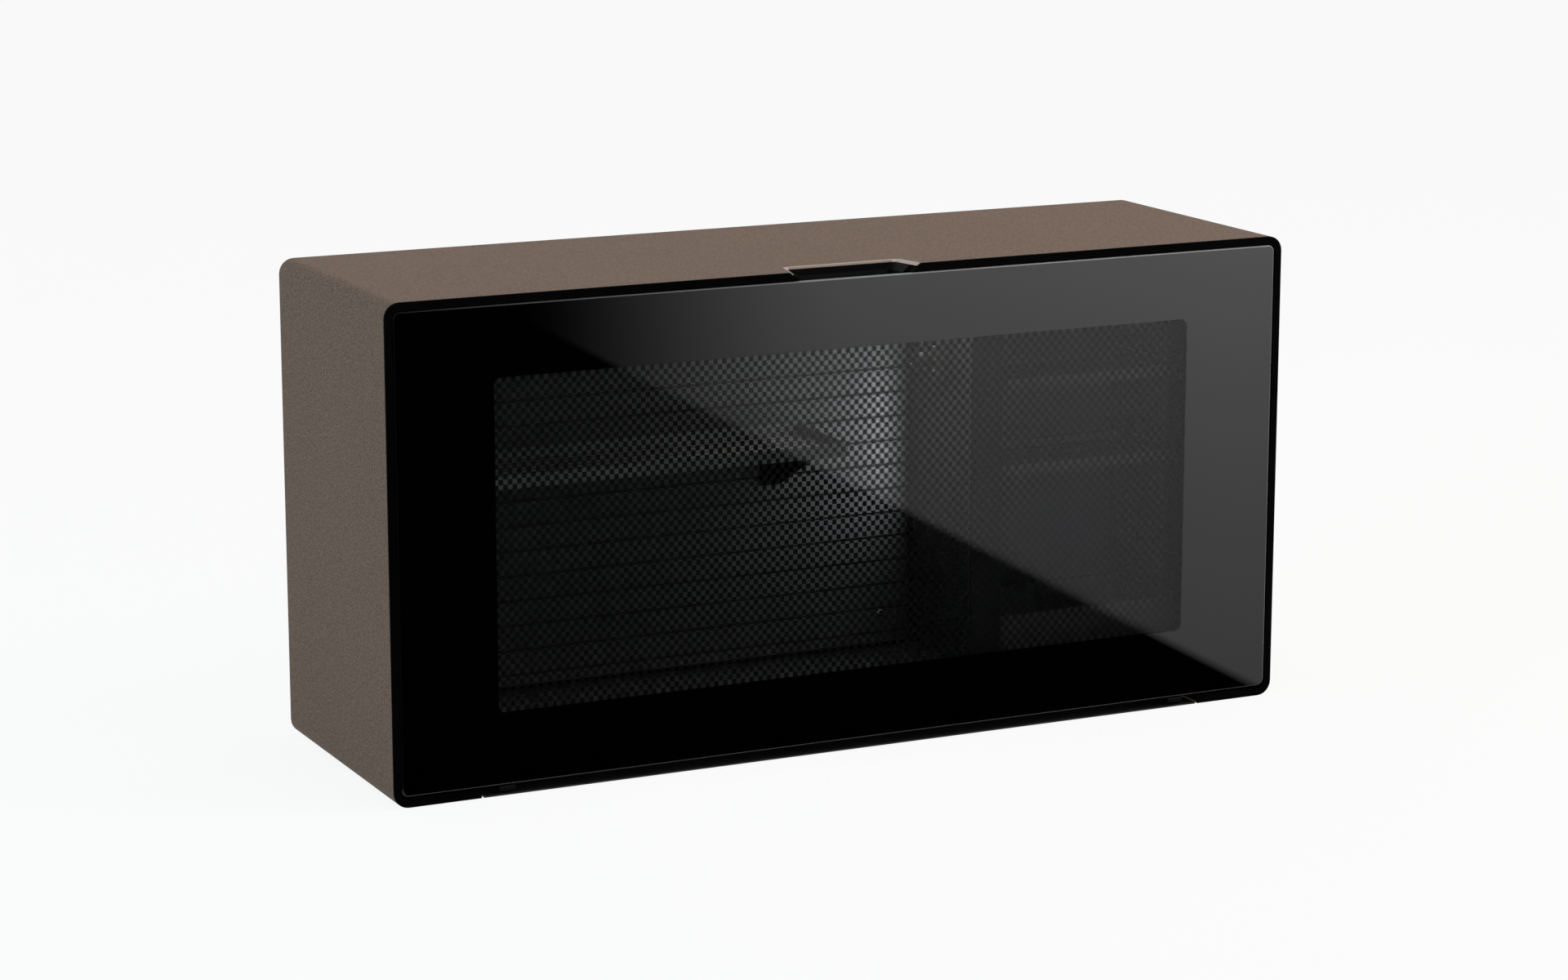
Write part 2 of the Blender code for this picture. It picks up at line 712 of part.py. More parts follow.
def thermostat(housing_look, knob_look):
    """The thermostat on the cabin's right wall, and the knob that turns on it."""
    wall = CABIN_X1 - GAP
    face = wall - STAT_THICK
    loop = rounded(STAT_Y - STAT_LONG / 2, STAT_Y + STAT_LONG / 2,
                   STAT_Z - STAT_HIGH / 2, STAT_Z + STAT_HIGH / 2, STAT_R)
    housing = swept("thermostat_housing", housing_look, loop, "X", face, wall, 35)
    soften(housing, EDGE)
    start = face - GAP
    end = start - KNOB_THICK
    knob = turned("thermostat_knob", knob_look, "X", (STAT_Y, STAT_Z),
                  [(KNOB_R, start), (KNOB_R, start - KNOB_SKIRT), (KNOB_R * 0.86, start - KNOB_SKIRT - EDGE),
                   (KNOB_R * 0.80, end + EDGE), (KNOB_R * 0.72, end)])
    pointer = cutter_block("knob_pointer", (end - OVER, STAT_Y - POINTER_WIDE / 2, STAT_Z + KNOB_R * 0.2),
                           (end + POINTER_DEEP, STAT_Y + POINTER_WIDE / 2, STAT_Z + KNOB_R))
    cut(knob, pointer)
    carry(pivot("thermostat_axis", (start, STAT_Y, STAT_Z)), knob)


def comb_loop(x0, x1, base_y, root_y, tip_y, count):
    """The outline of a finned sink seen from above, with its fins side by side."""
    pitch = (x1 - x0 - FIN_THICK) / (count - 1)
    loop = [(x1, base_y), (x0, base_y)]
    for i in range(count):
        left = x0 + i * pitch
        loop += [(left, root_y), (left, tip_y), (left + FIN_THICK, tip_y), (left + FIN_THICK, root_y)]
    return loop


def cold_sink(look):
    """The cold side: fins in the cabin, and a block through the wall to the module."""
    base_y = INSIDE_BACK - GAP
    root_y = base_y - COLD_BASE
    loop = comb_loop(COOLER_X - COLD_HALF, COOLER_X + COLD_HALF, base_y, root_y, root_y - COLD_FIN, COLD_FINS)
    fins = swept("cold_sink", look, loop, "Z", COOLER_Z - COLD_HALF, COOLER_Z + COLD_HALF)
    neck = cutter_block("cold_neck", (COOLER_X - MODULE_HALF, base_y - COLD_BASE / 2, COOLER_Z - MODULE_HALF),
                        (COOLER_X + MODULE_HALF, FOAM_REAR - MODULE_THICK, COOLER_Z + MODULE_HALF))
    return fuse(fins, neck)


def thermo_module(look):
    front = FOAM_REAR - MODULE_THICK + GAP
    return block("thermo_module", look, (COOLER_X - MODULE_HALF, front, COOLER_Z - MODULE_HALF),
                 (COOLER_X + MODULE_HALF, FOAM_REAR, COOLER_Z + MODULE_HALF), EDGE / 2)


def hot_sink(look):
    base_y = FOAM_REAR + GAP
    root_y = base_y + HOT_BASE
    loop = comb_loop(COOLER_X - HOT_HALF, COOLER_X + HOT_HALF, base_y, root_y, root_y + HOT_FIN, HOT_FINS)
    return swept("hot_sink", look, loop, "Z", COOLER_Z - HOT_HALF, COOLER_Z + HOT_HALF)


def fan(name, frame_look, rotor_look, x, z, half, front, rear):
    """A square fan: a frame with a bore, a hub on struts at its rear, and a rotor that turns in it."""
    bore = half - FAN_WALL
    hub = bore * HUB_SHARE
    frame = swept(name + "_frame", frame_look, rounded(x - half, x + half, z - half, z + half, FAN_R, 3),
                  "Y", front, rear)
    hole = swept(name + "_bore", None, circle(x, z, bore, 40), "Y", front - OVER, rear + OVER)
    cut(frame, hole)
    plate = rear - STRUT_THICK
    fuse(frame, swept(name + "_hub", None, circle(x, z, hub, 24), "Y", plate, rear))
    inner = hub * 0.8
    outer = bore + FAN_WALL / 2
    strut_loop = [(inner, -STRUT / 2), (outer, -STRUT / 2), (outer, STRUT / 2), (inner, STRUT / 2)]
    for i in range(4):
        bar = swept(f"{name}_strut_{i}", None, strut_loop, "Y", plate, rear - STRUT_THICK / 8)
        bar.data.transform(Matrix.Translation((x, 0, z)) @ Matrix.Rotation(math.radians(45 + 90 * i), 4, "Y"))
        fuse(frame, bar)
    rotor(name + "_rotor", rotor_look, x, z, hub, bore - FAN_TIP, front + ROTOR_FRONT, plate - ROTOR_REAR)


def rotor(name, look, x, z, hub, tip, front, rear):
    """A rotor: a hub cup with twisted blades, each a curved sheet with some thickness."""
    core = turned(name, look, "Y", (x, z), [(hub * 0.86, front), (hub, front + hub * 0.12), (hub, rear)], 28)
    for i in range(BLADES):
        fuse(core, blade(f"{name}_blade_{i}", x, z, hub * 0.9, tip, front + BLADE_IN, rear - BLADE_IN,
                         2 * math.pi * i / BLADES))
    carry(pivot(name + "_axis", (x, (front + rear) / 2, z)), core)


def blade(name, x, z, root, tip, front, rear, turn):
    """One blade: from root to tip it lies flatter and sweeps forward. Both faces split the same way."""
    bm = bmesh.new()
    stations = 5
    rows = []
    mid_y = (front + rear) / 2
    for i in range(stations):
        share = i / (stations - 1)
        radius = root + (tip - root) * share
        half_y = (rear - front) / 2 * (1.0 - 0.12 * share)
        half_t = half_y * math.tan(BLADE_TWIST) / (root + (radius - root) * BLADE_FLARE)
        thick = BLADE_THICK / 2 / radius
        lean = turn + BLADE_SWEEP * share
        row = []
        for y, angle in ((mid_y - half_y, lean - half_t - thick), (mid_y + half_y, lean + half_t - thick),
                         (mid_y + half_y, lean + half_t + thick), (mid_y - half_y, lean - half_t + thick)):
            row.append(bm.verts.new((x + radius * math.cos(angle), y, z + radius * math.sin(angle))))
        rows.append(row)
    for a, b in zip(rows, rows[1:]):
        for corners in ((a[0], a[1], b[1]), (a[0], b[1], b[0]), (a[2], a[3], b[2]), (a[3], b[3], b[2])):
            bm.faces.new(corners)
        bm.faces.new((a[1], a[2], b[2], b[1]))
        bm.faces.new((a[3], a[0], b[0], b[3]))
    bm.faces.new(rows[0])
    bm.faces.new(rows[-1])
    return from_bmesh(name, bm, None)


def vent_rows(prefix, x, z, wide, rows):
    """Round-ended slots, one above the other."""
    cutters = []
    for i in range(rows):
        mid = z + (i - (rows - 1) / 2) * VENT_PITCH
        loop = rounded(x - wide / 2, x + wide / 2, mid - VENT_HIGH / 2, mid + VENT_HIGH / 2,
                       VENT_HIGH * 0.4975, 4)
        cutters.append(swept(f"{prefix}_{i}", None, loop, "Y", BACK_FRONT - OVER, BACK_REAR + OVER))
    return cutters


def rear_panel(look):
    """The steel back with a folded lip, set into the casing, with vents over the fan and at the intake."""
    panel = swept("rear_panel", look, rounded(*casing_rect(SKIN)), "Y", BACK_FRONT - BACK_LIP, BACK_REAR, 35)
    hollow = swept("rear_hollow", None, rounded(*casing_rect(SKIN + BACK_SHEET)), "Y",
                   BACK_FRONT - BACK_LIP - OVER, BACK_FRONT)
    cut(panel, hollow, *vent_rows("fan_vent", COOLER_X, COOLER_Z, 2 * (HOT_FAN_HALF - FAN_WALL), VENT_ROWS))
    cut(panel, *vent_rows("intake_vent", -SUPPLY_X, INTAKE_Z, INTAKE_WIDE, INTAKE_ROWS))
    cut(panel, *vent_rows("supply_vent", SUPPLY_X, SUPPLY_Z, SUPPLY_WIDE * 0.8, INTAKE_ROWS))
    half_wide = INLET_WIDE / 2 + GAP
    half_high = INLET_HIGH / 2 + GAP
    inlet = cutter_block("inlet_hole", (INLET_X - half_wide, BACK_FRONT - OVER, INLET_Z - half_high),
                         (INLET_X + half_wide, BACK_REAR + OVER, INLET_Z + half_high))
    return cut(panel, inlet)


def box_on_foam(name, look, x, z, wide, high, deep):
    front = FOAM_REAR + GAP
    return block(name, look, (x - wide / 2, front, z - high / 2),
                 (x + wide / 2, front + deep, z + high / 2), 2 * EDGE)


def power_inlet(look):
    """The mains inlet in the back: a flange outside, a body inside and three flat pins in a recess."""
    y0 = BACK_REAR + GAP
    half_wide = INLET_WIDE / 2
    half_high = INLET_HIGH / 2
    flange_loop = rounded(INLET_X - half_wide - INLET_FLANGE, INLET_X + half_wide + INLET_FLANGE,
                          INLET_Z - half_high - INLET_FLANGE, INLET_Z + half_high + INLET_FLANGE,
                          INLET_FLANGE * 0.75)
    flange = swept("power_inlet", look, flange_loop, "Y", y0, y0 + INLET_PLATE, 35)
    body = cutter_block("inlet_body", (INLET_X - half_wide, y0 - INLET_DEEP, INLET_Z - half_high),
                        (INLET_X + half_wide, y0 + INLET_PLATE * 0.75, INLET_Z + half_high))
    wide = half_wide - INLET_WALL
    high = half_high - INLET_WALL
    recess_loop = [(INLET_X - wide, INLET_Z - high), (INLET_X + wide, INLET_Z - high),
                   (INLET_X + wide, INLET_Z + high * 0.4), (INLET_X + wide * 0.65, INLET_Z + high),
                   (INLET_X - wide * 0.65, INLET_Z + high), (INLET_X - wide, INLET_Z + high * 0.4)]
    floor = y0 - INLET_DEEP * 0.65
    recess = swept("inlet_recess", None, recess_loop, "Y", floor, y0 + OVER)
    cut(fuse(flange, body), recess)
    for name, side, drop in (("live", -1, PIN_DROP), ("earth", 0, -3 * PIN_DROP), ("neutral", 1, PIN_DROP)):
        x = INLET_X + side * PIN_PITCH
        z = INLET_Z - drop
        pin = cutter_block("inlet_" + name, (x - PIN_HALF_WIDE, floor - INLET_WALL / 2, z - PIN_HALF_HIGH),
                           (x + PIN_HALF_WIDE, floor + PIN_LONG, z + PIN_HALF_HIGH))
        fuse(flange, pin)
    return flange


def wall_rail(look):
    """The hanging rail: a plate on the back, a web and a hook that drops over a wall cleat."""
    y0 = BACK_REAR + GAP
    z1 = RAIL_TOP
    loop = [(y0, z1 - RAIL_HIGH), (y0 + RAIL_SHEET, z1 - RAIL_HIGH), (y0 + RAIL_SHEET, z1 - RAIL_SHEET),
            (BACK - RAIL_SHEET, z1 - RAIL_SHEET), (BACK - RAIL_SHEET, z1 - RAIL_HOOK), (BACK, z1 - RAIL_HOOK),
            (BACK, z1), (y0, z1)]
    return swept("wall_rail", look, loop, "X", -RAIL_HALF, RAIL_HALF)


def wall_buffer(name, look, x):
    y0 = BACK_REAR + GAP
    return turned(name, look, "Y", (x, BUFFER_Z),
                  [(BUFFER_R, y0), (BUFFER_R, BACK - BUFFER_NOSE), (BUFFER_R - BUFFER_NOSE, BACK)], 24)


def pane_seat(name):
    """The rebate that holds the inner pane, from the frame's rear."""
    return swept(name, None, rounded(*view_rect(-REBATE - GAP)), "Y",
                 FRAME_REAR - PANE - 2 * GAP, FRAME_REAR + OVER)


def door_frame(look):
    """The moulded door frame behind the glass, open in the middle of its top for the pull."""
    x1 = RIGHT - GLASS_SIDE - FRAME_INSET
    frame = swept("door_frame", look, rounded(-x1, x1, GLASS_FOOT + FRAME_INSET, FRAME_TOP, FRAME_R), "Y",
                  FRAME_FRONT, FRAME_REAR, 35)
    view_hole = swept("frame_view", None, rounded(*view_rect(0.0)), "Y", FRAME_FRONT - OVER, FRAME_REAR + OVER)
    half = PULL_HALF + GAP
    pull_gap = cutter_block("frame_pull_gap", (-half, FRAME_FRONT - OVER, VIEW_HEAD - OVER),
                            (half, FRAME_REAR + OVER, HEIGHT))
    return cut(frame, view_hole, pane_seat("frame_rebate"), pull_gap)


def door_pull(look):
    """The moulding that fills the frame's gap: an angle section with the pull lip on its front wall."""
    lip_rear = FRAME_FRONT + LIP_THICK
    finger_floor = NOTCH_FLOOR - FRAME_INSET
    loop = [(FRAME_FRONT, VIEW_HEAD), (FRAME_REAR, VIEW_HEAD), (FRAME_REAR, finger_floor),
            (lip_rear, finger_floor), (lip_rear, FRAME_TOP), (FRAME_FRONT, FRAME_TOP)]
    angle = swept("door_pull", look, loop, "X", -PULL_HALF, PULL_HALF)
    lip_half = NOTCH_REAR_HALF + 2 * REVEAL
    lip = cutter_block("pull_lip", (-lip_half, FRAME_FRONT, FRAME_TOP - FRAME_R),
                       (lip_half, lip_rear - STEP, HEIGHT - GLASS_TOP - REVEAL / 2))
    return fuse(cut(angle, pane_seat("pull_rebate")), lip)


def view_rect(inset):
    """The opening in the door frame."""
    x1 = RIGHT - GLASS_SIDE - VIEW_SIDE - inset
    return (-x1, x1, GLASS_FOOT + VIEW_FOOT + inset, VIEW_HEAD - inset, VIEW_R)


def door_panes(glass_look, spacer_look):
    outer = swept("door_glass", glass_look, rounded(*glass_rect()), "Y", FRONT, GLASS_REAR, 35)
    soften(outer, GLASS_BEVEL, 1, 60)
    inner = swept("door_inner_glass", glass_look, rounded(*view_rect(-REBATE)), "Y",
                  FRAME_REAR - PANE - GAP, FRAME_REAR - GAP, 35)
    front = GLASS_REAR + GAP
    rear = FRAME_REAR - PANE - 2 * GAP
    spacer = ring_of("door_spacer", spacer_look, view_rect(GAP),
                     [(0.0, front), (0.0, rear), (SPACER_WIDE, rear), (SPACER_WIDE, front + 2 * EDGE),
                      (SPACER_WIDE - 2 * EDGE, front)], 35)
    return outer, inner, spacer


def door_gasket(look):
    """The soft seal: a foot on the door frame and a bulb that lies on the flange."""
    y0 = FRAME_REAR + GAP
    y1 = FLANGE_FRONT - GAP
    mid = (y0 + y1) / 2
    wide = GASKET_WIDE
    rect = (LEFT + GLASS_SIDE + GASKET_SIDE, RIGHT - GLASS_SIDE - GASKET_SIDE, GLASS_FOOT + GASKET_FOOT,
            HEIGHT - GLASS_TOP - GASKET_TOP, GASKET_R)
    section = [(wide * 0.15, y0), (0.0, y0 + EDGE), (wide * 0.12, mid), (wide * 0.05, y1 - EDGE),
               (wide * 0.2, y1), (wide * 0.8, y1), (wide * 0.95, y1 - EDGE), (wide * 0.88, mid),
               (wide, y0 + EDGE), (wide * 0.85, y0)]
    return ring_of("door_gasket", look, rect, section, 50)


def hinge_bracket(name, look, x):
    """Cabinet side: a plate on the flange and an arm with an eye on the axis."""
    rear = FLANGE_FRONT - GAP
    front = rear - BRACKET_PLATE
    low = AXIS.z - KNUCKLE_R
    half = ARM_WIDE / 2
    plate = block(name, look, (x - BRACKET_HALF, front, low), (x + BRACKET_HALF, rear, BRACKET_TOP))
    arm = cutter_block(name + "_arm", (x - half, AXIS.y, low + 2 * STEP),
                       (x + half, rear - BRACKET_PLATE / 4, AXIS.z + KNUCKLE_R - 2 * STEP))
    eye = swept(name + "_eye", None, circle(AXIS.y, AXIS.z, KNUCKLE_R, 24), "X", x - half, x + half)
    bore = swept(name + "_bore", None, circle(AXIS.y, AXIS.z, PIN_R + GAP, 20), "X", x - OVER, x + OVER)
    return cut(fuse(plate, arm, eye), bore)


def hinge_clevis(name, look, x):
    """Door side: a plate under the door frame and two lugs with eyes round the bracket's arm."""
    top = GLASS_FOOT + FRAME_INSET - GAP
    low = top - CLEVIS_PLATE
    y0 = FRAME_FRONT + REVEAL
    plate = block(name, look, (x - CLEVIS_HALF, y0, low), (x + CLEVIS_HALF, y0 + CLEVIS_DEEP, top))
    for side in (-1, 1):
        inner = x + side * (ARM_WIDE / 2 + GAP)
        outer = inner + side * LUG_WIDE
        x0, x1 = sorted((inner, outer))
        web = cutter_block(f"{name}_web_{side}", (x0, FRAME_FRONT, AXIS.z),
                           (x1, FRAME_FRONT + LUG_WEB, top - 2 * STEP))
        eye = swept(f"{name}_eye_{side}", None, circle(AXIS.y, AXIS.z, KNUCKLE_R, 24), "X", x0, x1)
        fuse(plate, web, eye)
    bore = swept(name + "_bore", None, circle(AXIS.y, AXIS.z, PIN_R + GAP, 20), "X",
                 x - 2 * OVER, x + 2 * OVER)
    return cut(plate, bore)


def hinge_pin(name, look, x):
    half = ARM_WIDE / 2 + GAP + LUG_WIDE + PIN_OUT
    return turned(name, look, "X", (AXIS.y, AXIS.z),
                  [(PIN_R * 0.8, x - half), (PIN_R, x - half + EDGE / 2), (PIN_R, x + half - EDGE / 2),
                   (PIN_R * 0.8, x + half)], 20)


def catch(side, magnet_look, striker_look, x):
    """A magnet on the flange, and the steel striker on the door that meets it."""
    z0 = CATCH_Z - CATCH_HIGH / 2
    z1 = CATCH_Z + CATCH_HIGH / 2
    rear = FLANGE_FRONT - GAP
    block(f"catch_magnet_{side}", magnet_look, (x - CATCH_HALF, rear - MAGNET, z0),
          (x + CATCH_HALF, rear, z1), EDGE / 2)
    front = FRAME_REAR + GAP
    return block(f"catch_striker_{side}", striker_look, (x - CATCH_HALF, front, z0),
                 (x + CATCH_HALF, front + STRIKER, z1), EDGE / 2)


def main():
    for old in list(bpy.data.objects):
        bpy.data.objects.remove(old)

    taupe = material("taupe_powder_coat", "#6b6058", 0.55, 0.3)
    black_abs = material("black_abs", "#0c0c0d", 0.35)
    satin_abs = material("satin_black_abs", "#151516", 0.5)
    liner_abs = material("dark_liner_abs", "#2b2c2e", 0.45)
    panel_grey = material("grey_panel_abs", "#77787a", 0.5)
    foam = material("polyurethane_foam", "#d8c88f", 0.9)
    glass = material("tinted_glass", "#20211f", 0.04, 0.0, 0.9, 1.52)
    alu = material("aluminium", "#b4b6b8", 0.35, 1.0)
    steel = material("zinc_steel", "#9a9c9e", 0.4, 1.0)
    rubber = material("black_rubber", "#111111", 0.8)
    lens = material("frosted_lens", "#e8e8e2", 0.5, 0.0, 0.4)
    ceramic = material("white_ceramic", "#e4e2dc", 0.6)

    outer_casing(taupe)
    front_frame(black_abs)
    bottom_strip(black_abs)
    handle_scoop(satin_abs)
    recess_trim(alu)
    insulation_foam(foam)
    cabin_liner(liner_abs)
    column_liner(liner_abs)
    back_slat_panel(panel_grey)
    cabin_shelf(satin_abs)
    shelf_bracket(steel)

    x0 = COLUMN_X0 + TRAY_SIDE
    x1 = COLUMN_X1 - TRAY_SIDE
    tray("top_tray", satin_abs, x0, x1, TOP_TRAY_Z, TOP_TRAY_HIGH, TRAY_WALL, TRAY_R)
    tray("middle_tray", satin_abs, x0, x1, MIDDLE_TRAY_Z, MIDDLE_TRAY_HIGH, TRAY_WALL, TRAY_R)
    tray("bottom_bin", satin_abs, x0, x1, INSIDE_Z0 + GAP, BIN_HIGH, TRAY_WALL, TRAY_R)

    light_bar(satin_abs, lens)
    thermostat(satin_abs, black_abs)
    cold_sink(alu)
    thermo_module(ceramic)
    hot_sink(alu)
    hot_rear = BACK_FRONT - GAP
    fan("hot_fan", satin_abs, black_abs, COOLER_X, COOLER_Z, HOT_FAN_HALF, HOT_FAN_FRONT, hot_rear)
    cold_rear = INSIDE_BACK - GAP
    fan("cold_fan", satin_abs, black_abs, COLD_FAN_X, COOLER_Z, COLD_FAN_HALF,
        cold_rear - COLD_FAN_DEEP, cold_rear)
    rear_panel(steel)
    box_on_foam("power_supply", steel, SUPPLY_X, SUPPLY_Z, SUPPLY_WIDE, SUPPLY_HIGH, SUPPLY_DEEP)
    box_on_foam("control_box", satin_abs, CONTROL_X, CONTROL_Z, CONTROL_WIDE, CONTROL_HIGH, CONTROL_DEEP)
    power_inlet(black_abs)
    wall_rail(steel)
    wall_buffer("wall_buffer_left", rubber, -BUFFER_X)
    wall_buffer("wall_buffer_right", rubber, BUFFER_X)

    door = list(door_panes(glass, alu))
    door += [door_frame(black_abs), door_pull(black_abs), door_gasket(rubber)]
    for side, sign in (("left", -1), ("right", 1)):
        hinge_bracket(f"hinge_bracket_{side}", steel, sign * HINGE_X)
        door.append(hinge_clevis(f"hinge_clevis_{side}", steel, sign * HINGE_X))
        door.append(hinge_pin(f"hinge_pin_{side}", steel, sign * HINGE_X))
        door.append(catch(side, rubber, steel, sign * CATCH_X))
    carry(pivot("door_axis", AXIS), *door)


main()
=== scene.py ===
"""Looks of the glass door minibar fridge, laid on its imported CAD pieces.

Metres, +Z up, front towards -Y. The CAD gives the forms. This file adds the print on the glass, the small
screws, the anti-slip ribs, the dial's marks and pointer, every surface and a plain studio.
"""
import math

import bmesh
import bpy
from mathutils import Matrix, Vector


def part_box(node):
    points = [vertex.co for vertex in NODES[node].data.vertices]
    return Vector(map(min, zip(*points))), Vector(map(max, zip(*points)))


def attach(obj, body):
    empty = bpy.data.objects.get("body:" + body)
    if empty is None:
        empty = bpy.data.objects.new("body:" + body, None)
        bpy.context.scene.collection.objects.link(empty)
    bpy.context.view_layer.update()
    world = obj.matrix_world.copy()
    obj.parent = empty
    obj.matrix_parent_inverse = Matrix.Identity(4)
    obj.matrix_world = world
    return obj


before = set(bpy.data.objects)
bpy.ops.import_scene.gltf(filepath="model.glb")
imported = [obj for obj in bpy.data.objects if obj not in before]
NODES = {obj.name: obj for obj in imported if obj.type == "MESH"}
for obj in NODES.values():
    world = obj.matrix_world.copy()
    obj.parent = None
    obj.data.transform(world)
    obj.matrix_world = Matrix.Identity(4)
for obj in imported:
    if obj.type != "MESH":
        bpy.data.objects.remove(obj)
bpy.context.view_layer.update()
MM = 0.001

# Camera of the photograph, its angles in degrees and its sensor and lens in millimetres
CAMERA_PLACE = (-1.6148, -3.3352, 1.0145)
CAMERA_TURN = -25.754
CAMERA_DOWN = 12.128
CAMERA_LENS = 92.1
CAMERA_SENSOR = 36.0
CAMERA_SEES_FROM = 0.05
CAMERA_SEES_TO = 200.0

# Front pane: the black border round its window, the chequer inside it, and how both panes mirror and tint
PANE_LOW, PANE_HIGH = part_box("door_glass")
BORDER_LEFT = 92 * MM
BORDER_RIGHT = 95 * MM
BORDER_BELOW = 65 * MM
BORDER_ABOVE = 64 * MM
WINDOW_X0 = PANE_LOW.x + BORDER_LEFT
WINDOW_X1 = PANE_HIGH.x - BORDER_RIGHT
WINDOW_Z0 = PANE_LOW.z + BORDER_BELOW
WINDOW_Z1 = PANE_HIGH.z - BORDER_ABOVE
WINDOW_ROUND = 7 * MM
SQUARE_WIDE = 4.41 * MM
SQUARE_HIGH = 4.785 * MM
PRINT_IN = 0.8 * MM
PRINT_ROUND = 6 * MM
PRINT_BEHIND = 0.08 * MM
CORNER_STEPS = 8
BOND_SOFT = 0.3 * MM
GLASS_IOR = 1.52
GLASS_TINT = (0.985, 0.995, 0.99, 1.0)
FRONT_MIRROR = 0.51
INNER_MIRROR = 0.2
SMEAR_STRETCH = (1.0, 1.0, 2.5)
SMEAR_ROUGH = 0.02
BEVEL_TURNED = 0.92
# Edges of the panes: the band above the foot over which the painted highlight comes in, and the darker
# share held along the foot, painted shade
FOOT_EDGE = 4 * MM
FOOT_PAINTED_SHADE = 0.27

# Pins of the mains inlet
PIN_PITCH = 7 * MM
PIN_HALF = 1 * MM
PIN_SKIN = 0.2 * MM
PIN_RISE = 1 * MM
PIN_REACH = 4.2 * MM
PIN_LONG = 11.2 * MM
PIN_MIDDLE = 11.8 * MM

# The limits that a noise is stretched from: for slow patches, for fine grain and for the coat's specks
PATCHES_SPAN = {"From_Min": 0.35, "From_Max": 0.65}
GRAIN_SPAN = {"From_Min": 0.3, "From_Max": 0.7}
SPECK_SPAN = {"From_Min": 0.36, "From_Max": 0.64}

# Grains and shades of the surfaces, each the size of one patch
SPECK = 1.7 * MM
ORANGE_PEEL = 3.8 * MM
COAT_PATCH = 200 * MM
MOULD_GRAIN = 0.77 * MM
FINE_GRAIN = 0.6 * MM
LINER_GRAIN = 1.4 * MM
DRAW_LINE = 1.1 * MM
SPANGLE = 11 * MM
FOAM_CELL = 2.4 * MM
INK_GRIT = 0.4 * MM
SHADE_PATCH = 70 * MM
SMEAR = 110 * MM

# Depths behind the front at which the rim turns into the flange, and at which a slat's face turns into the
# painted shade of its groove floor
RIM_DEEP = 12 * MM
FLANGE_FROM = 18 * MM
GROOVE_SHADE_START = 0.3 * MM
GROOVE_SHADE_END = 1.4 * MM

# Light bar: how steeply it grows towards its bright end, and how bright that is
LENS_GROWTH = 1.5
LENS_GLOW = 45.0

# Screws: head radius, how far in from the edge each stands, and shares of the row or column it stands in
BACK_SCREW = 3.6 * MM
BACK_SCREW_IN = 14 * MM
BACK_SCREWS_ALONG = (-1.0, -0.6, 0.0, 0.6, 1.0)
BACK_SCREWS_UP = (0.3, 0.7)
RAIL_SCREW = 4.2 * MM
RAIL_SCREW_IN = 30 * MM
RAIL_SCREW_UP = 9 * MM
RAIL_FLANGE = 1.8 * MM
RAIL_SCREWS = 6
FAN_SCREW = 3 * MM
FAN_SCREW_IN = 4 * MM
SLAT_SCREW = 3.2 * MM
SLAT_SCREW_IN = 30 * MM
DOOR_SCREW = 2.8 * MM
DOOR_SCREW_OUT = 5 * MM
DOOR_SCREWS_UP = (0.08, 0.5, 0.92)
DOOR_SCREWS_ALONG = (-0.86, -0.43, 0.0, 0.43, 0.86)
HINGE_SCREW = 2.4 * MM
HINGE_SCREW_APART = 21 * MM
HINGE_SCREW_UP = 11.3 * MM
HINGE_PLATE = 2 * MM

# A screw's head, in shares of its radius and of its height: the dome's profile, and the cross recess in it
HEAD_SIDES = 16
HEAD_HIGH = 0.55
HEAD_PROFILE = ((1.0, 0.0), (1.0, 0.35), (0.86, 0.75), (0.6, 0.95))
CROSS_ARM = 0.52
CROSS_HALF = 0.11
CROSS_TOP = 0.96
CROSS_FLOOR = 0.3
CROSS_TAPER = 0.8

# Ribs on the shelf and the trays, and marks round the thermostat knob
RIB_PITCH = 12 * MM
RIB_FOOT = 1.1 * MM
RIB_TOP = 0.6 * MM
RIB_HIGH = 0.5 * MM
SHELF_MARGIN = 8 * MM
TRAY_MARGIN = 12 * MM
SHELF_FLOOR = 2.45 * MM
TRAY_FLOOR = 1.95 * MM
DIAL_RADIUS = 16.5 * MM
DIAL_MARKS = 7
DIAL_STEP = -45
DIAL_START = 135
DOT_FIRST = 0.6 * MM
DOT_MORE = 0.1 * MM
DOT_SIDES = 12
DOT_PROFILE = ((1.0, 0.0), (0.8, 0.3 * MM), (0.4, 0.4 * MM))
POINTER_FROM = 4 * MM
POINTER_TO = 11 * MM
POINTER_HALF = 0.7 * MM
POINTER_HIGH = 0.3 * MM
POINTER_TAPER = 0.6

# Edges that turn by more than this many degrees stay sharp
ROUND_FORM = 40
FLAT_FORM = 30

# Studio: the floor and the light that it and the surround give, then the card, then the lamp in the cabin
FLOOR_HALF = 30.0
FLOOR_DOWN = 0.4 * MM
FLOOR_CLOUDS = 1.5
FLOOR_GLOW = 0.9
SURROUND_LIGHT = 0.6
CARD_UP = 0.5 * MM
CARD_LEFT = -4.0
CARD_RIGHT = 6.0
CARD_NEAR = 12 * MM
CARD_FAR = 5.86
WHITE_EDGE = 0.4432
WHITE_EDGE_LEAN = 0.069
WHITE_EDGE_SOFT = 20 * MM
FADE_LEFT = -0.335
FADE_RIGHT = 0.015
RISE_HALF = 0.4
RISE_LOW = 0.59
FAR_REACH = 2.4
FAR_LOW = 0.49
CARD_GLOW = 1.75
CABIN_LAMP_IN = 6 * MM
CABIN_LAMP_OUT = 45 * MM
CABIN_LAMP_WIDE = 8 * MM
CABIN_LAMP_TALL = 200 * MM
CABIN_LAMP_WATTS = 1.25


def linear(colour):
    """Scene colour of an sRGB hex string."""
    values = [int(colour[i:i + 2], 16) / 255 for i in (1, 3, 5)]
    return (*[v / 12.92 if v <= 0.04045 else ((v + 0.055) / 1.055) ** 2.4 for v in values], 1.0)


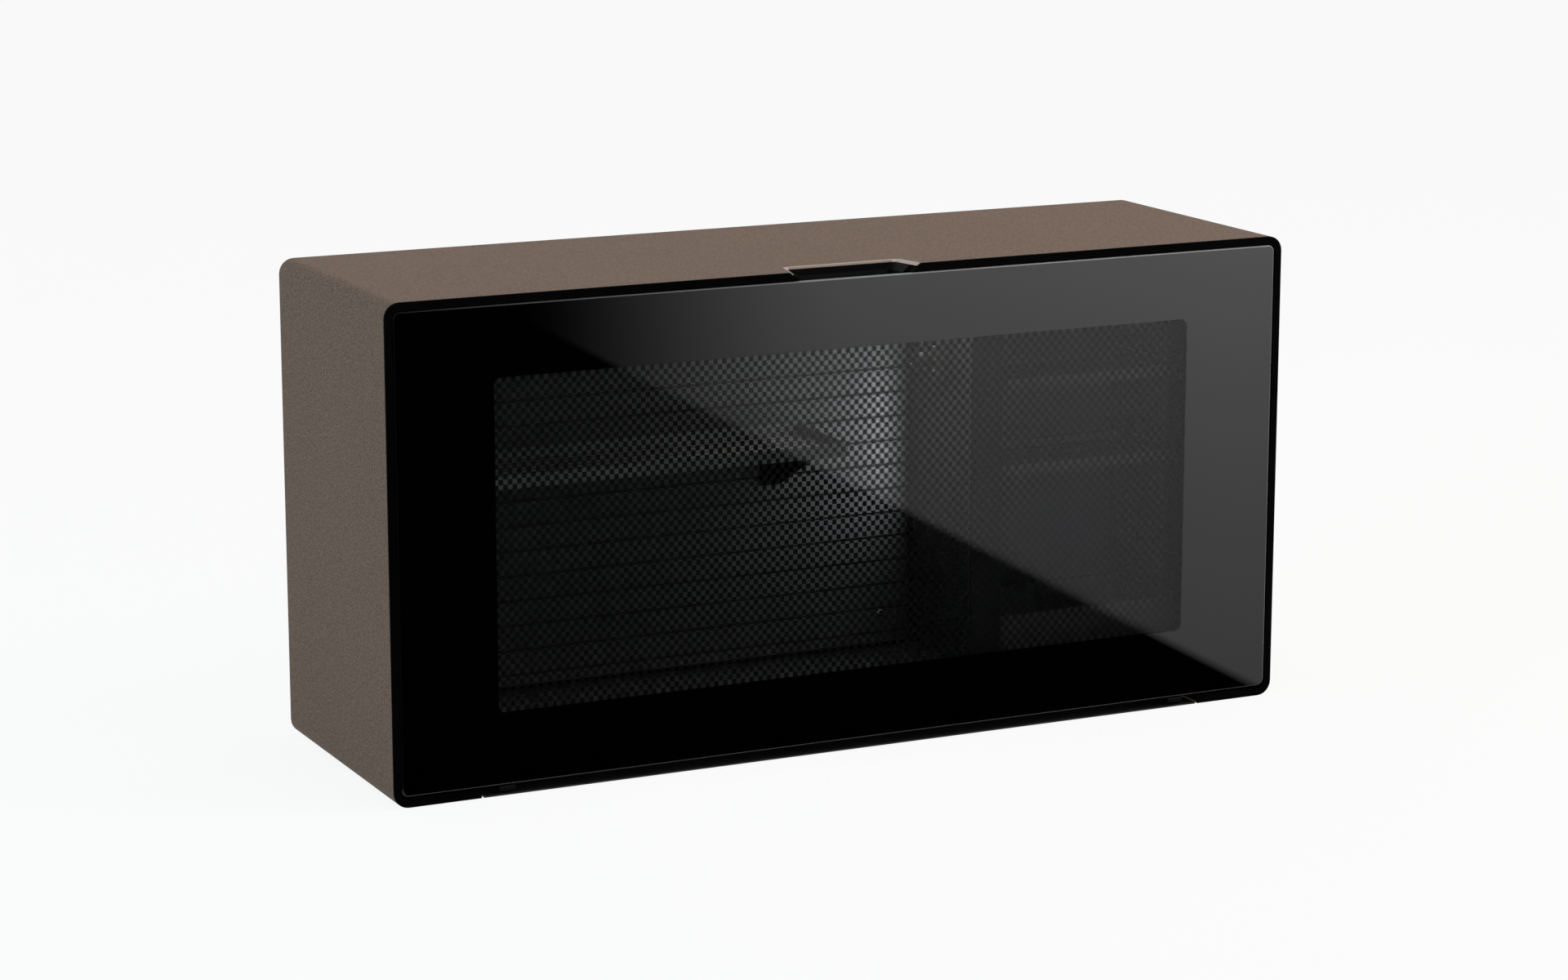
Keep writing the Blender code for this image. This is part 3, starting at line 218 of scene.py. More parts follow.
def new_material(name):
    """A node material with nothing in it yet."""
    made = bpy.data.materials.new(name)
    made.use_nodes = True
    made.node_tree.nodes.clear()
    return made, made.node_tree


def add(tree, kind, settings=None, **inputs):
    """One shader node. Its inputs go by name or by number (n0); each is a value, an output, or a node."""
    node = tree.nodes.new("ShaderNode" + kind)
    for key, value in (settings or {}).items():
        setattr(node, key, value)
    for key, value in inputs.items():
        numbered = key[0] == "n" and key[1:].isdigit()
        socket = node.inputs[int(key[1:]) if numbered else key.replace("_", " ")]
        if isinstance(value, bpy.types.Node):
            value = value.outputs[0]
        if isinstance(value, bpy.types.NodeSocket):
            tree.links.new(value, socket)
        else:
            socket.default_value = value
    return node


def patches(tree, place, patch):
    """A share that wanders between 0 and 1 in patches of one size."""
    slow = add(tree, "TexNoise", Vector=place, Scale=1 / patch, Detail=3.0)
    return add(tree, "MapRange", Value=slow, **PATCHES_SPAN)


def grained(tree, place, grain, depth, smooth, rough):
    """A fine grain, as a roughness between two limits and as a relief of one depth."""
    fine = add(tree, "TexNoise", Vector=place, Scale=1 / grain, Detail=2.0)
    roughness = add(tree, "MapRange", Value=fine, **GRAIN_SPAN, To_Min=smooth, To_Max=rough)
    return roughness, add(tree, "Bump", Height=fine, Distance=depth, Strength=1.0)


def finished(name, dark, light, roughness, grain, depth, metallic=0.0, gloss=0.5, sway=0.05,
             patch=SHADE_PATCH, drawn=(1.0, 1.0, 1.0)):
    """Two close shades that change in slow patches, under a grain in the height and in the roughness.

    grain and patch are the sizes that are drawn, depth is the grain's height, sway is how far the roughness
    wanders, and drawn stretches the grain along one way.
    """
    made, tree = new_material(name)
    place = add(tree, "TexCoord").outputs["Object"]
    share = patches(tree, place, patch)
    colour = add(tree, "Mix", {"data_type": "RGBA"}, n0=share, n6=linear(dark), n7=linear(light))
    along = add(tree, "Mapping", Vector=place, Scale=drawn)
    rough, relief = grained(tree, along, grain, depth, roughness - sway, roughness + sway)
    shader = add(tree, "BsdfPrincipled", Base_Color=colour.outputs[2], Roughness=rough, Metallic=metallic,
                 Specular_IOR_Level=gloss, Normal=relief)
    add(tree, "OutputMaterial", Surface=shader)
    return made


def powder_coat():
    """Textured taupe powder coat, baked on sheet steel.

    To the eye it is matt, with fine lighter and darker specks and a soft orange peel that breaks up the
    highlights. The real specks are about 0.5 mm. They are drawn at 1.7 mm, as coarse as they need to be so
    that they show.
    """
    made, tree = new_material("taupe_powder_coat")
    place = add(tree, "TexCoord").outputs["Object"]
    fine = add(tree, "TexNoise", Vector=place, Scale=1 / SPECK, Detail=3.0)
    coarse = add(tree, "TexNoise", Vector=place, Scale=1 / ORANGE_PEEL, Detail=2.0)
    slow = add(tree, "TexNoise", Vector=place, Scale=1 / COAT_PATCH, Detail=2.0)
    share = add(tree, "MapRange", Value=fine, **SPECK_SPAN)
    speck = add(tree, "Mix", {"data_type": "RGBA"}, n0=share, n6=linear("#54453b"), n7=linear("#826c5d"))
    cloud = add(tree, "MapRange", Value=slow, **GRAIN_SPAN, To_Min=0.0, To_Max=0.06)
    shade = add(tree, "Mix", {"data_type": "RGBA", "blend_type": "MULTIPLY"}, n0=cloud, n6=speck.outputs[2],
                n7=linear("#aaaaaa"))
    rough = add(tree, "MapRange", Value=fine, **GRAIN_SPAN, To_Min=0.42, To_Max=0.58)
    peel = add(tree, "Bump", Height=coarse, Distance=0.12 * MM, Strength=0.35)
    relief = add(tree, "Bump", Height=fine, Distance=0.1 * MM, Strength=0.7, Normal=peel)
    shader = add(tree, "BsdfPrincipled", Base_Color=shade.outputs[2], Roughness=rough, Metallic=0.2,
                 Specular_IOR_Level=0.005, Normal=relief)
    add(tree, "OutputMaterial", Surface=shader)
    return made


def rim_plastic():
    """Black ABS, moulded: polished to a deep satin on the rim, with its mould grain on the flange inside.

    To the eye the rim round the shut door swallows the light. The flange, which shows when the door is
    open, is a shade lighter, so the step that the seal lies on can be read.
    """
    made, tree = new_material("satin_black_rim_abs")
    place = add(tree, "TexCoord").outputs["Object"]
    parts = add(tree, "SeparateXYZ", Vector=place)
    share = patches(tree, place, SHADE_PATCH)
    rim = add(tree, "Mix", {"data_type": "RGBA"}, n0=share, n6=linear("#020202"), n7=linear("#040404"))
    flange = add(tree, "Mix", {"data_type": "RGBA"}, n0=share, n6=linear("#161617"), n7=linear("#1d1d1e"))
    behind = add(tree, "MapRange", Value=parts.outputs["Y"], From_Min=PANE_LOW.y + RIM_DEEP,
                 From_Max=PANE_LOW.y + FLANGE_FROM)
    colour = add(tree, "Mix", {"data_type": "RGBA"}, n0=behind, n6=rim.outputs[2], n7=flange.outputs[2])
    rough, relief = grained(tree, place, FINE_GRAIN, 0.02 * MM, 0.37, 0.47)
    shader = add(tree, "BsdfPrincipled", Base_Color=colour.outputs[2], Roughness=rough,
                 Specular_IOR_Level=0.01, Normal=relief)
    add(tree, "OutputMaterial", Surface=shader)
    return made


def lit_lens():
    """Frosted acrylic, extruded, over a row of warm diodes.

    To the eye it is one smooth line of light with no hot spots, and it grows brighter towards the right,
    where the diodes are.
    """
    made, tree = new_material("frosted_acrylic_lens")
    place = add(tree, "TexCoord").outputs["Object"]
    rough, relief = grained(tree, place, LINER_GRAIN, 0.02 * MM, 0.4, 0.5)
    low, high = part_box("light_lens")
    parts = add(tree, "SeparateXYZ", Vector=place)
    near = add(tree, "MapRange", Value=parts.outputs["X"], From_Min=low.x, From_Max=high.x)
    growth = add(tree, "Math", {"operation": "POWER"}, n0=near, n1=LENS_GROWTH)
    glow = add(tree, "Math", {"operation": "MULTIPLY"}, n0=growth, n1=LENS_GLOW)
    shader = add(tree, "BsdfPrincipled", Base_Color=linear("#e6e6df"), Roughness=rough, Normal=relief,
                 Emission_Color=linear("#fff6ea"), Emission_Strength=glow)
    add(tree, "OutputMaterial", Surface=shader)
    return made


def inlet_plastic():
    """Black moulded polyamide with three nickel-plated pins, which are one solid with it.

    To the eye it is a satin black socket, and the pins shine pale in the depth of it.
    """
    made, tree = new_material("black_polyamide_inlet")
    low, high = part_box("power_inlet")
    middle = (low + high) / 2
    place = add(tree, "TexCoord").outputs["Object"]
    parts = add(tree, "SeparateXYZ", Vector=place)
    off_x = add(tree, "Math", {"operation": "SUBTRACT"}, n0=parts.outputs["X"], n1=middle.x)
    across = add(tree, "Math", {"operation": "ABSOLUTE"}, n0=off_x)
    nearest = add(tree, "Math", {"operation": "PINGPONG"}, n0=across, n1=PIN_PITCH / 2)
    on_pin = add(tree, "Math", {"operation": "LESS_THAN"}, n0=nearest, n1=PIN_HALF + PIN_SKIN)
    in_row = add(tree, "Math", {"operation": "LESS_THAN"}, n0=across, n1=PIN_PITCH + 2 * PIN_HALF)
    off_z = add(tree, "Math", {"operation": "SUBTRACT"}, n0=parts.outputs["Z"], n1=middle.z + PIN_RISE)
    level = add(tree, "Math", {"operation": "ABSOLUTE"}, n0=off_z)
    in_height = add(tree, "Math", {"operation": "LESS_THAN"}, n0=level, n1=PIN_REACH)
    off_y = add(tree, "Math", {"operation": "SUBTRACT"}, n0=parts.outputs["Y"], n1=high.y - PIN_MIDDLE)
    along = add(tree, "Math", {"operation": "ABSOLUTE"}, n0=off_y)
    in_depth = add(tree, "Math", {"operation": "LESS_THAN"}, n0=along, n1=PIN_LONG / 2)
    pin = on_pin
    for limit in (in_row, in_height, in_depth):
        pin = add(tree, "Math", {"operation": "MULTIPLY"}, n0=pin, n1=limit)
    colour = add(tree, "Mix", {"data_type": "RGBA"}, n0=pin, n6=linear("#0b0b0b"), n7=linear("#b9b4a6"))
    rough, relief = grained(tree, place, MOULD_GRAIN, 0.03 * MM, 0.38, 0.48)
    shader = add(tree, "BsdfPrincipled", Base_Color=colour.outputs[2], Metallic=pin, Roughness=rough,
                 Normal=relief)
    add(tree, "OutputMaterial", Surface=shader)
    return made


def slatted_panel():
    """Grey ABS, moulded with a smooth face.

    To the eye the slats are satin, so they carry the pale sheen on the right. The groove floors between
    them are painted near black, a painted shade for the little light that reaches them, so the grooves
    read as dark lines.
    """
    made, tree = new_material("grey_slat_panel_abs")
    place = add(tree, "TexCoord").outputs["Object"]
    parts = add(tree, "SeparateXYZ", Vector=place)
    share = patches(tree, place, SHADE_PATCH)
    face = add(tree, "Mix", {"data_type": "RGBA"}, n0=share, n6=linear("#252627"), n7=linear("#29292b"))
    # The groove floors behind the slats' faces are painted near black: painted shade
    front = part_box("back_slat_panel")[0].y
    floor = add(tree, "MapRange", Value=parts.outputs["Y"], From_Min=front + GROOVE_SHADE_START,
                From_Max=front + GROOVE_SHADE_END)
    shade = add(tree, "Mix", {"data_type": "RGBA"}, n0=floor, n6=face.outputs[2], n7=linear("#101010"))
    rough, relief = grained(tree, place, LINER_GRAIN, 0.008 * MM, 0.27, 0.29)
    shader = add(tree, "BsdfPrincipled", Base_Color=shade.outputs[2], Roughness=rough,
                 Specular_IOR_Level=0.5, Normal=relief)
    add(tree, "OutputMaterial", Surface=shader)
    return made


def glass_pane(name, node, edges, mirror, window=None):
    """Float glass with ground edges.

    To the eye what is behind it shows through, its outer face mirrors a little and more at a slant, and
    faint smears soften the mirror image. Its edges are dull, and their colour is painted light: it goes
    from the first edge colour at the left to the second towards the right, a painted highlight that grows
    to the right, and the foot is held at a fixed darker share of the way, painted shade. Where the black
    border is bonded to its rear, outside the window's x and z limits, it is a deep glossy black. mirror is
    the coating's share of a plain face's reflection.
    """
    made, tree = new_material(name)
    coords = add(tree, "TexCoord")
    place = coords.outputs["Object"]
    outer = add(tree, "Math", {"operation": "SUBTRACT"}, n0=1.0,
                n1=add(tree, "NewGeometry").outputs["Backfacing"])
    slant = add(tree, "Math", {"operation": "MULTIPLY"}, n0=add(tree, "Fresnel", IOR=GLASS_IOR), n1=outer)
    amount = add(tree, "Math", {"operation": "MULTIPLY"}, n0=slant, n1=mirror)
    wiped = add(tree, "Mapping", Vector=place, Scale=SMEAR_STRETCH)
    smear = add(tree, "TexNoise", Vector=wiped, Scale=1 / SMEAR, Detail=4.0)
    rough = add(tree, "MapRange", Value=smear, **PATCHES_SPAN, To_Min=0.0, To_Max=SMEAR_ROUGH)
    gloss = add(tree, "BsdfAnisotropic", Color=(1.0, 1.0, 1.0, 1.0), Roughness=rough)
    clear = add(tree, "BsdfTransparent", Color=GLASS_TINT)
    face = add(tree, "MixShader", n0=amount, n1=clear, n2=gloss)
    if window:
        backed = add(tree, "BsdfPrincipled", Base_Color=linear("#010101"), Roughness=rough, IOR=GLASS_IOR)
        parts = add(tree, "SeparateXYZ", Vector=place)
        corner = add(tree, "CombineXYZ")
        for axis, low, high in (("X", *window[:2]), ("Z", *window[2:])):
            off = add(tree, "Math", {"operation": "SUBTRACT"}, n0=parts.outputs[axis], n1=(low + high) / 2)
            away = add(tree, "Math", {"operation": "ABSOLUTE"}, n0=off)
            past = add(tree, "Math", {"operation": "SUBTRACT"}, n0=away, n1=(high - low) / 2 - WINDOW_ROUND)
            beyond = add(tree, "Math", {"operation": "MAXIMUM"}, n0=past, n1=0.0)
            tree.links.new(beyond.outputs[0], corner.inputs[axis])
        reach = add(tree, "VectorMath", {"operation": "LENGTH"}, n0=corner)
        inside = add(tree, "MapRange", Value=reach.outputs["Value"], From_Min=WINDOW_ROUND - BOND_SOFT,
                     From_Max=WINDOW_ROUND + BOND_SOFT, To_Min=1.0, To_Max=0.0)
        face = add(tree, "MixShader", n0=inside, n1=backed, n2=face)
    # The edge colour is painted light: a painted highlight that grows from the left towards the right, and
    # a darker share held along the foot, painted shade
    low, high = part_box(node)
    run = add(tree, "SeparateXYZ", Vector=place)
    along = add(tree, "MapRange", Value=run.outputs["X"], From_Min=low.x, From_Max=(low.x + 2 * high.x) / 3)
    above_painted_foot = add(tree, "MapRange", Value=run.outputs["Z"], From_Min=low.z + FOOT_EDGE,
                 From_Max=low.z + 2 * FOOT_EDGE)
    share = add(tree, "Mix", n0=above_painted_foot, n2=FOOT_PAINTED_SHADE, n3=along)
    edge = add(tree, "Mix", {"data_type": "RGBA"}, n0=share, n6=linear(edges[0]), n7=linear(edges[1]))
    ground = add(tree, "BsdfPrincipled", Base_Color=edge.outputs[2], Roughness=0.28, Specular_IOR_Level=0.1)
    normal = add(tree, "SeparateXYZ", Vector=coords.outputs["Normal"])
    facing = add(tree, "Math", {"operation": "ABSOLUTE"}, n0=normal.outputs["Y"])
    turned = add(tree, "Math", {"operation": "LESS_THAN"}, n0=facing, n1=BEVEL_TURNED)
    add(tree, "OutputMaterial", Surface=add(tree, "MixShader", n0=turned, n1=face, n2=ground))
    return made


def put(material, *names):
    """Gives CAD nodes a material."""
    for name in names:
        for place in NODES[name].material_slots:
            place.material = material


# Casing: taupe powder coat on folded sheet steel
put(powder_coat(), "outer_casing")

# Moulded ABS, textured in the mould. Its real grain is 0.1 to 0.3 mm and is drawn at 0.6 to 0.8 mm, so that
# it shows as a soft break-up of the highlights. The rim is satin and near black
put(rim_plastic(), "front_frame")

# The pull is as near black as the rim, so the two read as one dark line over the glass
DARK = finished("near_black_abs", "#020202", "#040404", roughness=0.42, grain=FINE_GRAIN, depth=0.02 * MM,
                gloss=0.01)
put(DARK, "door_pull")

# The strip is a shade lighter, so its lower edge takes a faint sheen from the floor
STRIP = finished("satin_black_strip_abs", "#161617", "#1b1b1c", roughness=0.42, grain=FINE_GRAIN,
                 depth=0.02 * MM, gloss=0.3)
put(STRIP, "bottom_strip")

# The knob and the rotors are satin, and their curved faces carry one soft highlight
TURNED = finished("satin_black_turned_abs", "#0c0c0d", "#121213", roughness=0.38, grain=FINE_GRAIN,
                  depth=0.02 * MM, gloss=0.4)
put(TURNED, "thermostat_knob", "hot_fan_rotor", "cold_fan_rotor")

# The door's frame is a shade lighter than the rim, so its steps show when the door lies open
FRAME = finished("grained_black_frame_abs", "#101011", "#171718", roughness=0.5, grain=MOULD_GRAIN,
                 depth=0.04 * MM, gloss=0.1)
put(FRAME, "door_frame")

# The well is rougher, so the finger recess reads as one dark hollow
WELL = finished("grained_black_well_abs", "#030303", "#060606", roughness=0.5, grain=MOULD_GRAIN,
                depth=0.04 * MM, gloss=0.04)
put(WELL, "handle_scoop")

# The trays, the bin and the housings are a shade lighter, and their grain catches the light along the edges
GRAINED = finished("grained_black_abs", "#121213", "#1a1a1b", roughness=0.5, grain=MOULD_GRAIN,
                   depth=0.05 * MM)
put(GRAINED, "top_tray", "middle_tray", "bottom_bin", "light_housing", "thermostat_housing",
    "hot_fan_frame", "cold_fan_frame", "control_box")

# The shelf is mid grey, and its front lip is the palest line inside
SHELF = finished("grey_shelf_abs", "#3c3d3f", "#464749", roughness=0.4, grain=MOULD_GRAIN, depth=0.03 * MM)
put(SHELF, "cabin_shelf")

# The linings are drawn down from sheet, which leaves a soft unevenness of about 1.4 mm and a low sheen
LINER = finished("dark_grey_liner_abs", "#121314", "#18191a", roughness=0.42, grain=LINER_GRAIN,
                 depth=0.03 * MM)
put(LINER, "cabin_liner", "column_liner")
put(slatted_panel(), "back_slat_panel")

# Bead: anodised aluminium, satin. To the eye it is a thin pale champagne line round the recess. Its pale
# shade is partly its own colour and partly a painted highlight, for the light that the recess's edge
# catches
BEAD_AND_PAINTED_HIGHLIGHT = finished("champagne_bead_painted_highlight", "#93877d", "#a3978d", roughness=0.4, grain=MOULD_GRAIN,
                depth=0.01 * MM, metallic=0.8, gloss=0.3, sway=0.03)
put(BEAD_AND_PAINTED_HIGHLIGHT, "recess_trim")

# Heat sinks: extruded aluminium. Draw lines along the fins streak the highlights. Real ones are 0.05 mm
# apart, and they are drawn at 1.1 mm so that they show
SINK = finished("extruded_aluminium", "#a9abad", "#bdbfc1", roughness=0.34, grain=DRAW_LINE,
                depth=0.02 * MM, metallic=1.0, drawn=(12.0, 1.0, 0.08))
put(SINK, "cold_sink", "hot_sink")

# Back: hot-dip zinc on sheet steel. To the eye it is a cool grey with spangles of about 11 mm, some duller
ZINC = finished("zinc_plated_steel", "#8d9092", "#a5a8aa", roughness=0.4, grain=SPANGLE / 2,
                depth=0.01 * MM, metallic=1.0, sway=0.1, patch=SPANGLE)
put(ZINC, "rear_panel", "power_supply", "catch_striker_left", "catch_striker_right")

# Hanging rail: steel electroplated with bright zinc. To the eye it is paler and glossier than the panel
# behind it, with fine roll lines along it, drawn at 1.1 mm so that they show
RAIL = finished("bright_zinc_rail_steel", "#b2b5b7", "#c3c6c8", roughness=0.28, grain=DRAW_LINE,
                depth=0.01 * MM, metallic=1.0, drawn=(0.06, 1.0, 1.0))
put(RAIL, "wall_rail")

# Hinges and bracket: steel plated black. To the eye they are dull and near black, and vanish in the slot
HINGE = finished("black_plated_hinge_steel", "#040404", "#070707", roughness=0.5, grain=MOULD_GRAIN,
                 depth=0.03 * MM, gloss=0.04)
put(HINGE, "shelf_bracket", "hinge_bracket_left", "hinge_bracket_right", "hinge_clevis_left",
    "hinge_clevis_right", "hinge_pin_left", "hinge_pin_right")

# Seal, buffers and magnets: moulded rubber, black and quite dull, with no clear highlight
RUBBER = finished("black_rubber", "#0e0e0e", "#161616", roughness=0.82, grain=FINE_GRAIN, depth=0.06 * MM)
put(RUBBER, "wall_buffer_left", "wall_buffer_right", "door_gasket", "catch_magnet_left",
    "catch_magnet_right")

# Spacer between the panes: anodised aluminium, dark with a faint metal sheen
SPACER = finished("black_anodised_spacer", "#141414", "#1b1b1b", roughness=0.4, grain=DRAW_LINE,
                  depth=0.03 * MM, metallic=0.6)
put(SPACER, "door_spacer")

# Foam: poured urethane. To the eye it is a dull straw yellow with open cells of about 2.4 mm
FOAM = finished("yellow_urethane_foam", "#cdbb80", "#ddcd95", roughness=0.9, grain=FOAM_CELL,
                depth=0.3 * MM)
put(FOAM, "insulation_foam")

# Thermo module: sintered alumina, a chalky white
CERAMIC = finished("white_alumina", "#dedcd6", "#e8e6e0", roughness=0.6, grain=DRAW_LINE, depth=0.03 * MM)
put(CERAMIC, "thermo_module")
put(lit_lens(), "light_lens")
put(inlet_plastic(), "power_inlet")

# Panes: the front one is coated, and its edge is painted light, from near black at the left to a pale grey
# green painted highlight towards the right, darker along the foot, painted shade. The inner one's edge is
# a dark green grey, painted a little lighter towards the right and darker along the foot
put(glass_pane("front_glass_pane", "door_glass", ("#060707", "#8b918e"), FRONT_MIRROR,
               (WINDOW_X0, WINDOW_X1, WINDOW_Z0, WINDOW_Z1)), "door_glass")
put(glass_pane("inner_glass_pane", "door_inner_glass", ("#2b332f", "#39443f"), INNER_MIRROR),
    "door_inner_glass")

# Ink: ceramic frit fired on the glass, black and flat, with no highlight of its own. Its grit is under
# 0.1 mm and is drawn at 0.4 mm so that it shows up close
INK = finished("black_ceramic_ink", "#020202", "#030303", roughness=0.6, grain=INK_GRIT, depth=0.005 * MM,
               gloss=0.05)

# Dial marks: pad-printed light grey, matt. Screws: steel in black zinc, with a dark glint
MARK = finished("light_grey_marking", "#a9aaab", "#b4b5b6", roughness=0.5, grain=DRAW_LINE, depth=0.03 * MM)
SCREW = finished("black_zinc_screw", "#1c1c1d", "#29292a", roughness=0.38, grain=MOULD_GRAIN,
                 depth=0.03 * MM, metallic=0.9)


def piece_from(name, bm, material, body, smooth_angle=None):
    """A mesh that moves with one CAD body, flat or smooth up to an angle in degrees."""
    mesh = bpy.data.meshes.new(name)
    bm.to_mesh(mesh)
    bm.free()
    mesh.materials.append(material)
    if smooth_angle is not None:
        mesh.shade_smooth()
        mesh.set_sharp_from_angle(angle=math.radians(smooth_angle))
    piece = bpy.data.objects.new(name, mesh)
    bpy.context.scene.collection.objects.link(piece)
    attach(piece, body)


def bridge(bm, first, second):
    """A closed band of faces between two rings of vertices."""
    for i in range(len(first)):
        j = (i + 1) % len(first)
        bm.faces.new((first[i], first[j], second[j], second[i]))


def round_rectangle(x0, x1, z0, z1, radius):
    """A rectangle with round corners, as (x, z) points."""
    loop = []
    for x, z, first in ((x1, z0, -90), (x1, z1, 0), (x0, z1, 90), (x0, z0, 180)):
        mid_x = x - radius if x == x1 else x + radius
        mid_z = z - radius if z == z1 else z + radius
        for step in range(CORNER_STEPS + 1):
            angle = math.radians(first + 90 * step / CORNER_STEPS)
            loop.append((mid_x + radius * math.cos(angle), mid_z + radius * math.sin(angle)))
    return loop


def glass_print():
    """The ink on the pane's rear face: a black border round the window and a chequer inside it."""
    y = PANE_HIGH.y + PRINT_BEHIND
    bm = bmesh.new()
    outer = round_rectangle(PANE_LOW.x + PRINT_IN, PANE_HIGH.x - PRINT_IN, PANE_LOW.z + PRINT_IN,
                            PANE_HIGH.z - PRINT_IN, PRINT_ROUND)
    inner = round_rectangle(WINDOW_X0, WINDOW_X1, WINDOW_Z0, WINDOW_Z1, WINDOW_ROUND)
    outside = [bm.verts.new((x, y, z)) for x, z in outer]
    within = [bm.verts.new((x, y, z)) for x, z in inner]
    bridge(bm, outside, within)
    columns = math.ceil((WINDOW_X1 - WINDOW_X0) / SQUARE_WIDE)
    rows = math.ceil((WINDOW_Z1 - WINDOW_Z0) / SQUARE_HIGH)
    for row in range(rows):
        for column in range(columns):
            if (row + column) % 2:
                continue
            x0 = WINDOW_X0 + column * SQUARE_WIDE
            z0 = WINDOW_Z0 + row * SQUARE_HIGH
            x1 = min(x0 + SQUARE_WIDE, WINDOW_X1)
            z1 = min(z0 + SQUARE_HIGH, WINDOW_Z1)
            in_x = min((x0 + x1) / 2 - WINDOW_X0, WINDOW_X1 - (x0 + x1) / 2)
            in_z = min((z0 + z1) / 2 - WINDOW_Z0, WINDOW_Z1 - (z0 + z1) / 2)
            if math.hypot(max(WINDOW_ROUND - in_x, 0.0), max(WINDOW_ROUND - in_z, 0.0)) > WINDOW_ROUND:
                continue
            corners = ((x0, y, z0), (x1, y, z0), (x1, y, z1), (x0, y, z1))
            bm.faces.new([bm.verts.new(corner) for corner in corners])
    piece_from("glass_print", bm, INK, "door")


def screw(name, place, axis, radius, body, material):
    """A pan head with a cross recess, its face towards the axis direction."""
    bm = bmesh.new()
    high = radius * HEAD_HIGH
    rows = []
    for share, up in HEAD_PROFILE:
        row = []
        for i in range(HEAD_SIDES):
            angle = 2 * math.pi * i / HEAD_SIDES
            row.append(bm.verts.new((radius * share * math.cos(angle), radius * share * math.sin(angle),
                                     high * up)))
        rows.append(row)
    for first, second in zip(rows, rows[1:]):
        bridge(bm, first, second)
    arm = radius * CROSS_ARM
    slot = radius * CROSS_HALF
    quarter = ((arm, -slot), (arm, slot), (slot, slot))
    cross = []
    for cos, sin in ((1, 0), (0, 1), (-1, 0), (0, -1)):
        cross += [(u * cos - v * sin, u * sin + v * cos) for u, v in quarter]
    top = [bm.verts.new((u, v, high * CROSS_TOP)) for u, v in cross]
    floor = [bm.verts.new((u * CROSS_TAPER, v * CROSS_TAPER, high * CROSS_FLOOR)) for u, v in cross]
    bridge(bm, top, floor)
    bm.faces.new(floor)
    rim = rows[-1]
    edges = [bm.edges.get((rim[i], rim[(i + 1) % HEAD_SIDES])) for i in range(HEAD_SIDES)]
    edges += [bm.edges.get((top[i], top[(i + 1) % len(cross)])) for i in range(len(cross))]
    bmesh.ops.triangle_fill(bm, use_beauty=True, edges=edges)
    bmesh.ops.recalc_face_normals(bm, faces=bm.faces[:])
    turn = Vector(axis).to_track_quat("Z", "Y").to_matrix().to_4x4()
    bm.transform(Matrix.Translation(place) @ turn)
    piece_from(name, bm, material, body, ROUND_FORM)


def inset_corners(node, inset):
    """The four corners of a node's front outline, drawn in by a margin, as (x, z) points."""
    low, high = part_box(node)
    return [(x, z) for x in (low.x + inset, high.x - inset) for z in (low.z + inset, high.z - inset)]


def cabinet_screws():
    """Screws of the back, the hanging rail, the hot fan and the slatted panel."""
    low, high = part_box("rear_panel")
    back = high.y
    side = high.x - BACK_SCREW_IN
    bottom = low.z + BACK_SCREW_IN
    top = high.z - BACK_SCREW_IN
    spots = [(side * share, z) for share in BACK_SCREWS_ALONG for z in (bottom, top)]
    spots += [(side * way, bottom + (top - bottom) * share) for way in (-1, 1) for share in BACK_SCREWS_UP]
    for index, (x, z) in enumerate(spots):
        screw(f"back_screw_{index}", (x, back, z), (0, 1, 0), BACK_SCREW, "cabinet", SCREW)
    low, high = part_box("wall_rail")
    step = (high.x - low.x - 2 * RAIL_SCREW_IN) / (RAIL_SCREWS - 1)
    for index in range(RAIL_SCREWS):
        place = (low.x + RAIL_SCREW_IN + step * index, back + RAIL_FLANGE, low.z + RAIL_SCREW_UP)
        screw(f"rail_screw_{index}", place, (0, 1, 0), RAIL_SCREW, "cabinet", ZINC)
    for index, (x, z) in enumerate(inset_corners("hot_fan_frame", FAN_SCREW_IN)):
        screw(f"fan_screw_{index}", (x, back, z), (0, 1, 0), FAN_SCREW, "cabinet", SCREW)
    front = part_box("back_slat_panel")[0].y
    for index, (x, z) in enumerate(inset_corners("back_slat_panel", SLAT_SCREW_IN)):
        screw(f"panel_screw_{index}", (x, front, z), (0, -1, 0), SLAT_SCREW, "cabinet", ZINC)


def door_screws():
    """Screws that hold the door's frame, between the inner pane and the seal, and those of the hinges."""
    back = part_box("door_frame")[1].y
    low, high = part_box("door_inner_glass")
    side = high.x + DOOR_SCREW_OUT
    height = high.z - low.z
    spots = [(side * way, low.z + height * share) for way in (-1, 1) for share in DOOR_SCREWS_UP]
    spots += [(side * share, low.z - DOOR_SCREW_OUT) for share in DOOR_SCREWS_ALONG]
    for index, (x, z) in enumerate(spots):
        screw(f"door_screw_{index}", (x, back, z), (0, 1, 0), DOOR_SCREW, "door", SCREW)
    for side in ("left", "right"):
        low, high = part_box(f"hinge_bracket_{side}")
        middle = (low.x + high.x) / 2
        for index, x in enumerate((middle - HINGE_SCREW_APART / 2, middle + HINGE_SCREW_APART / 2)):
            place = (x, high.y - HINGE_PLATE, low.z + HINGE_SCREW_UP)
            screw(f"hinge_screw_{side}_{index}", place, (0, -1, 0), HINGE_SCREW, "cabinet", SCREW)


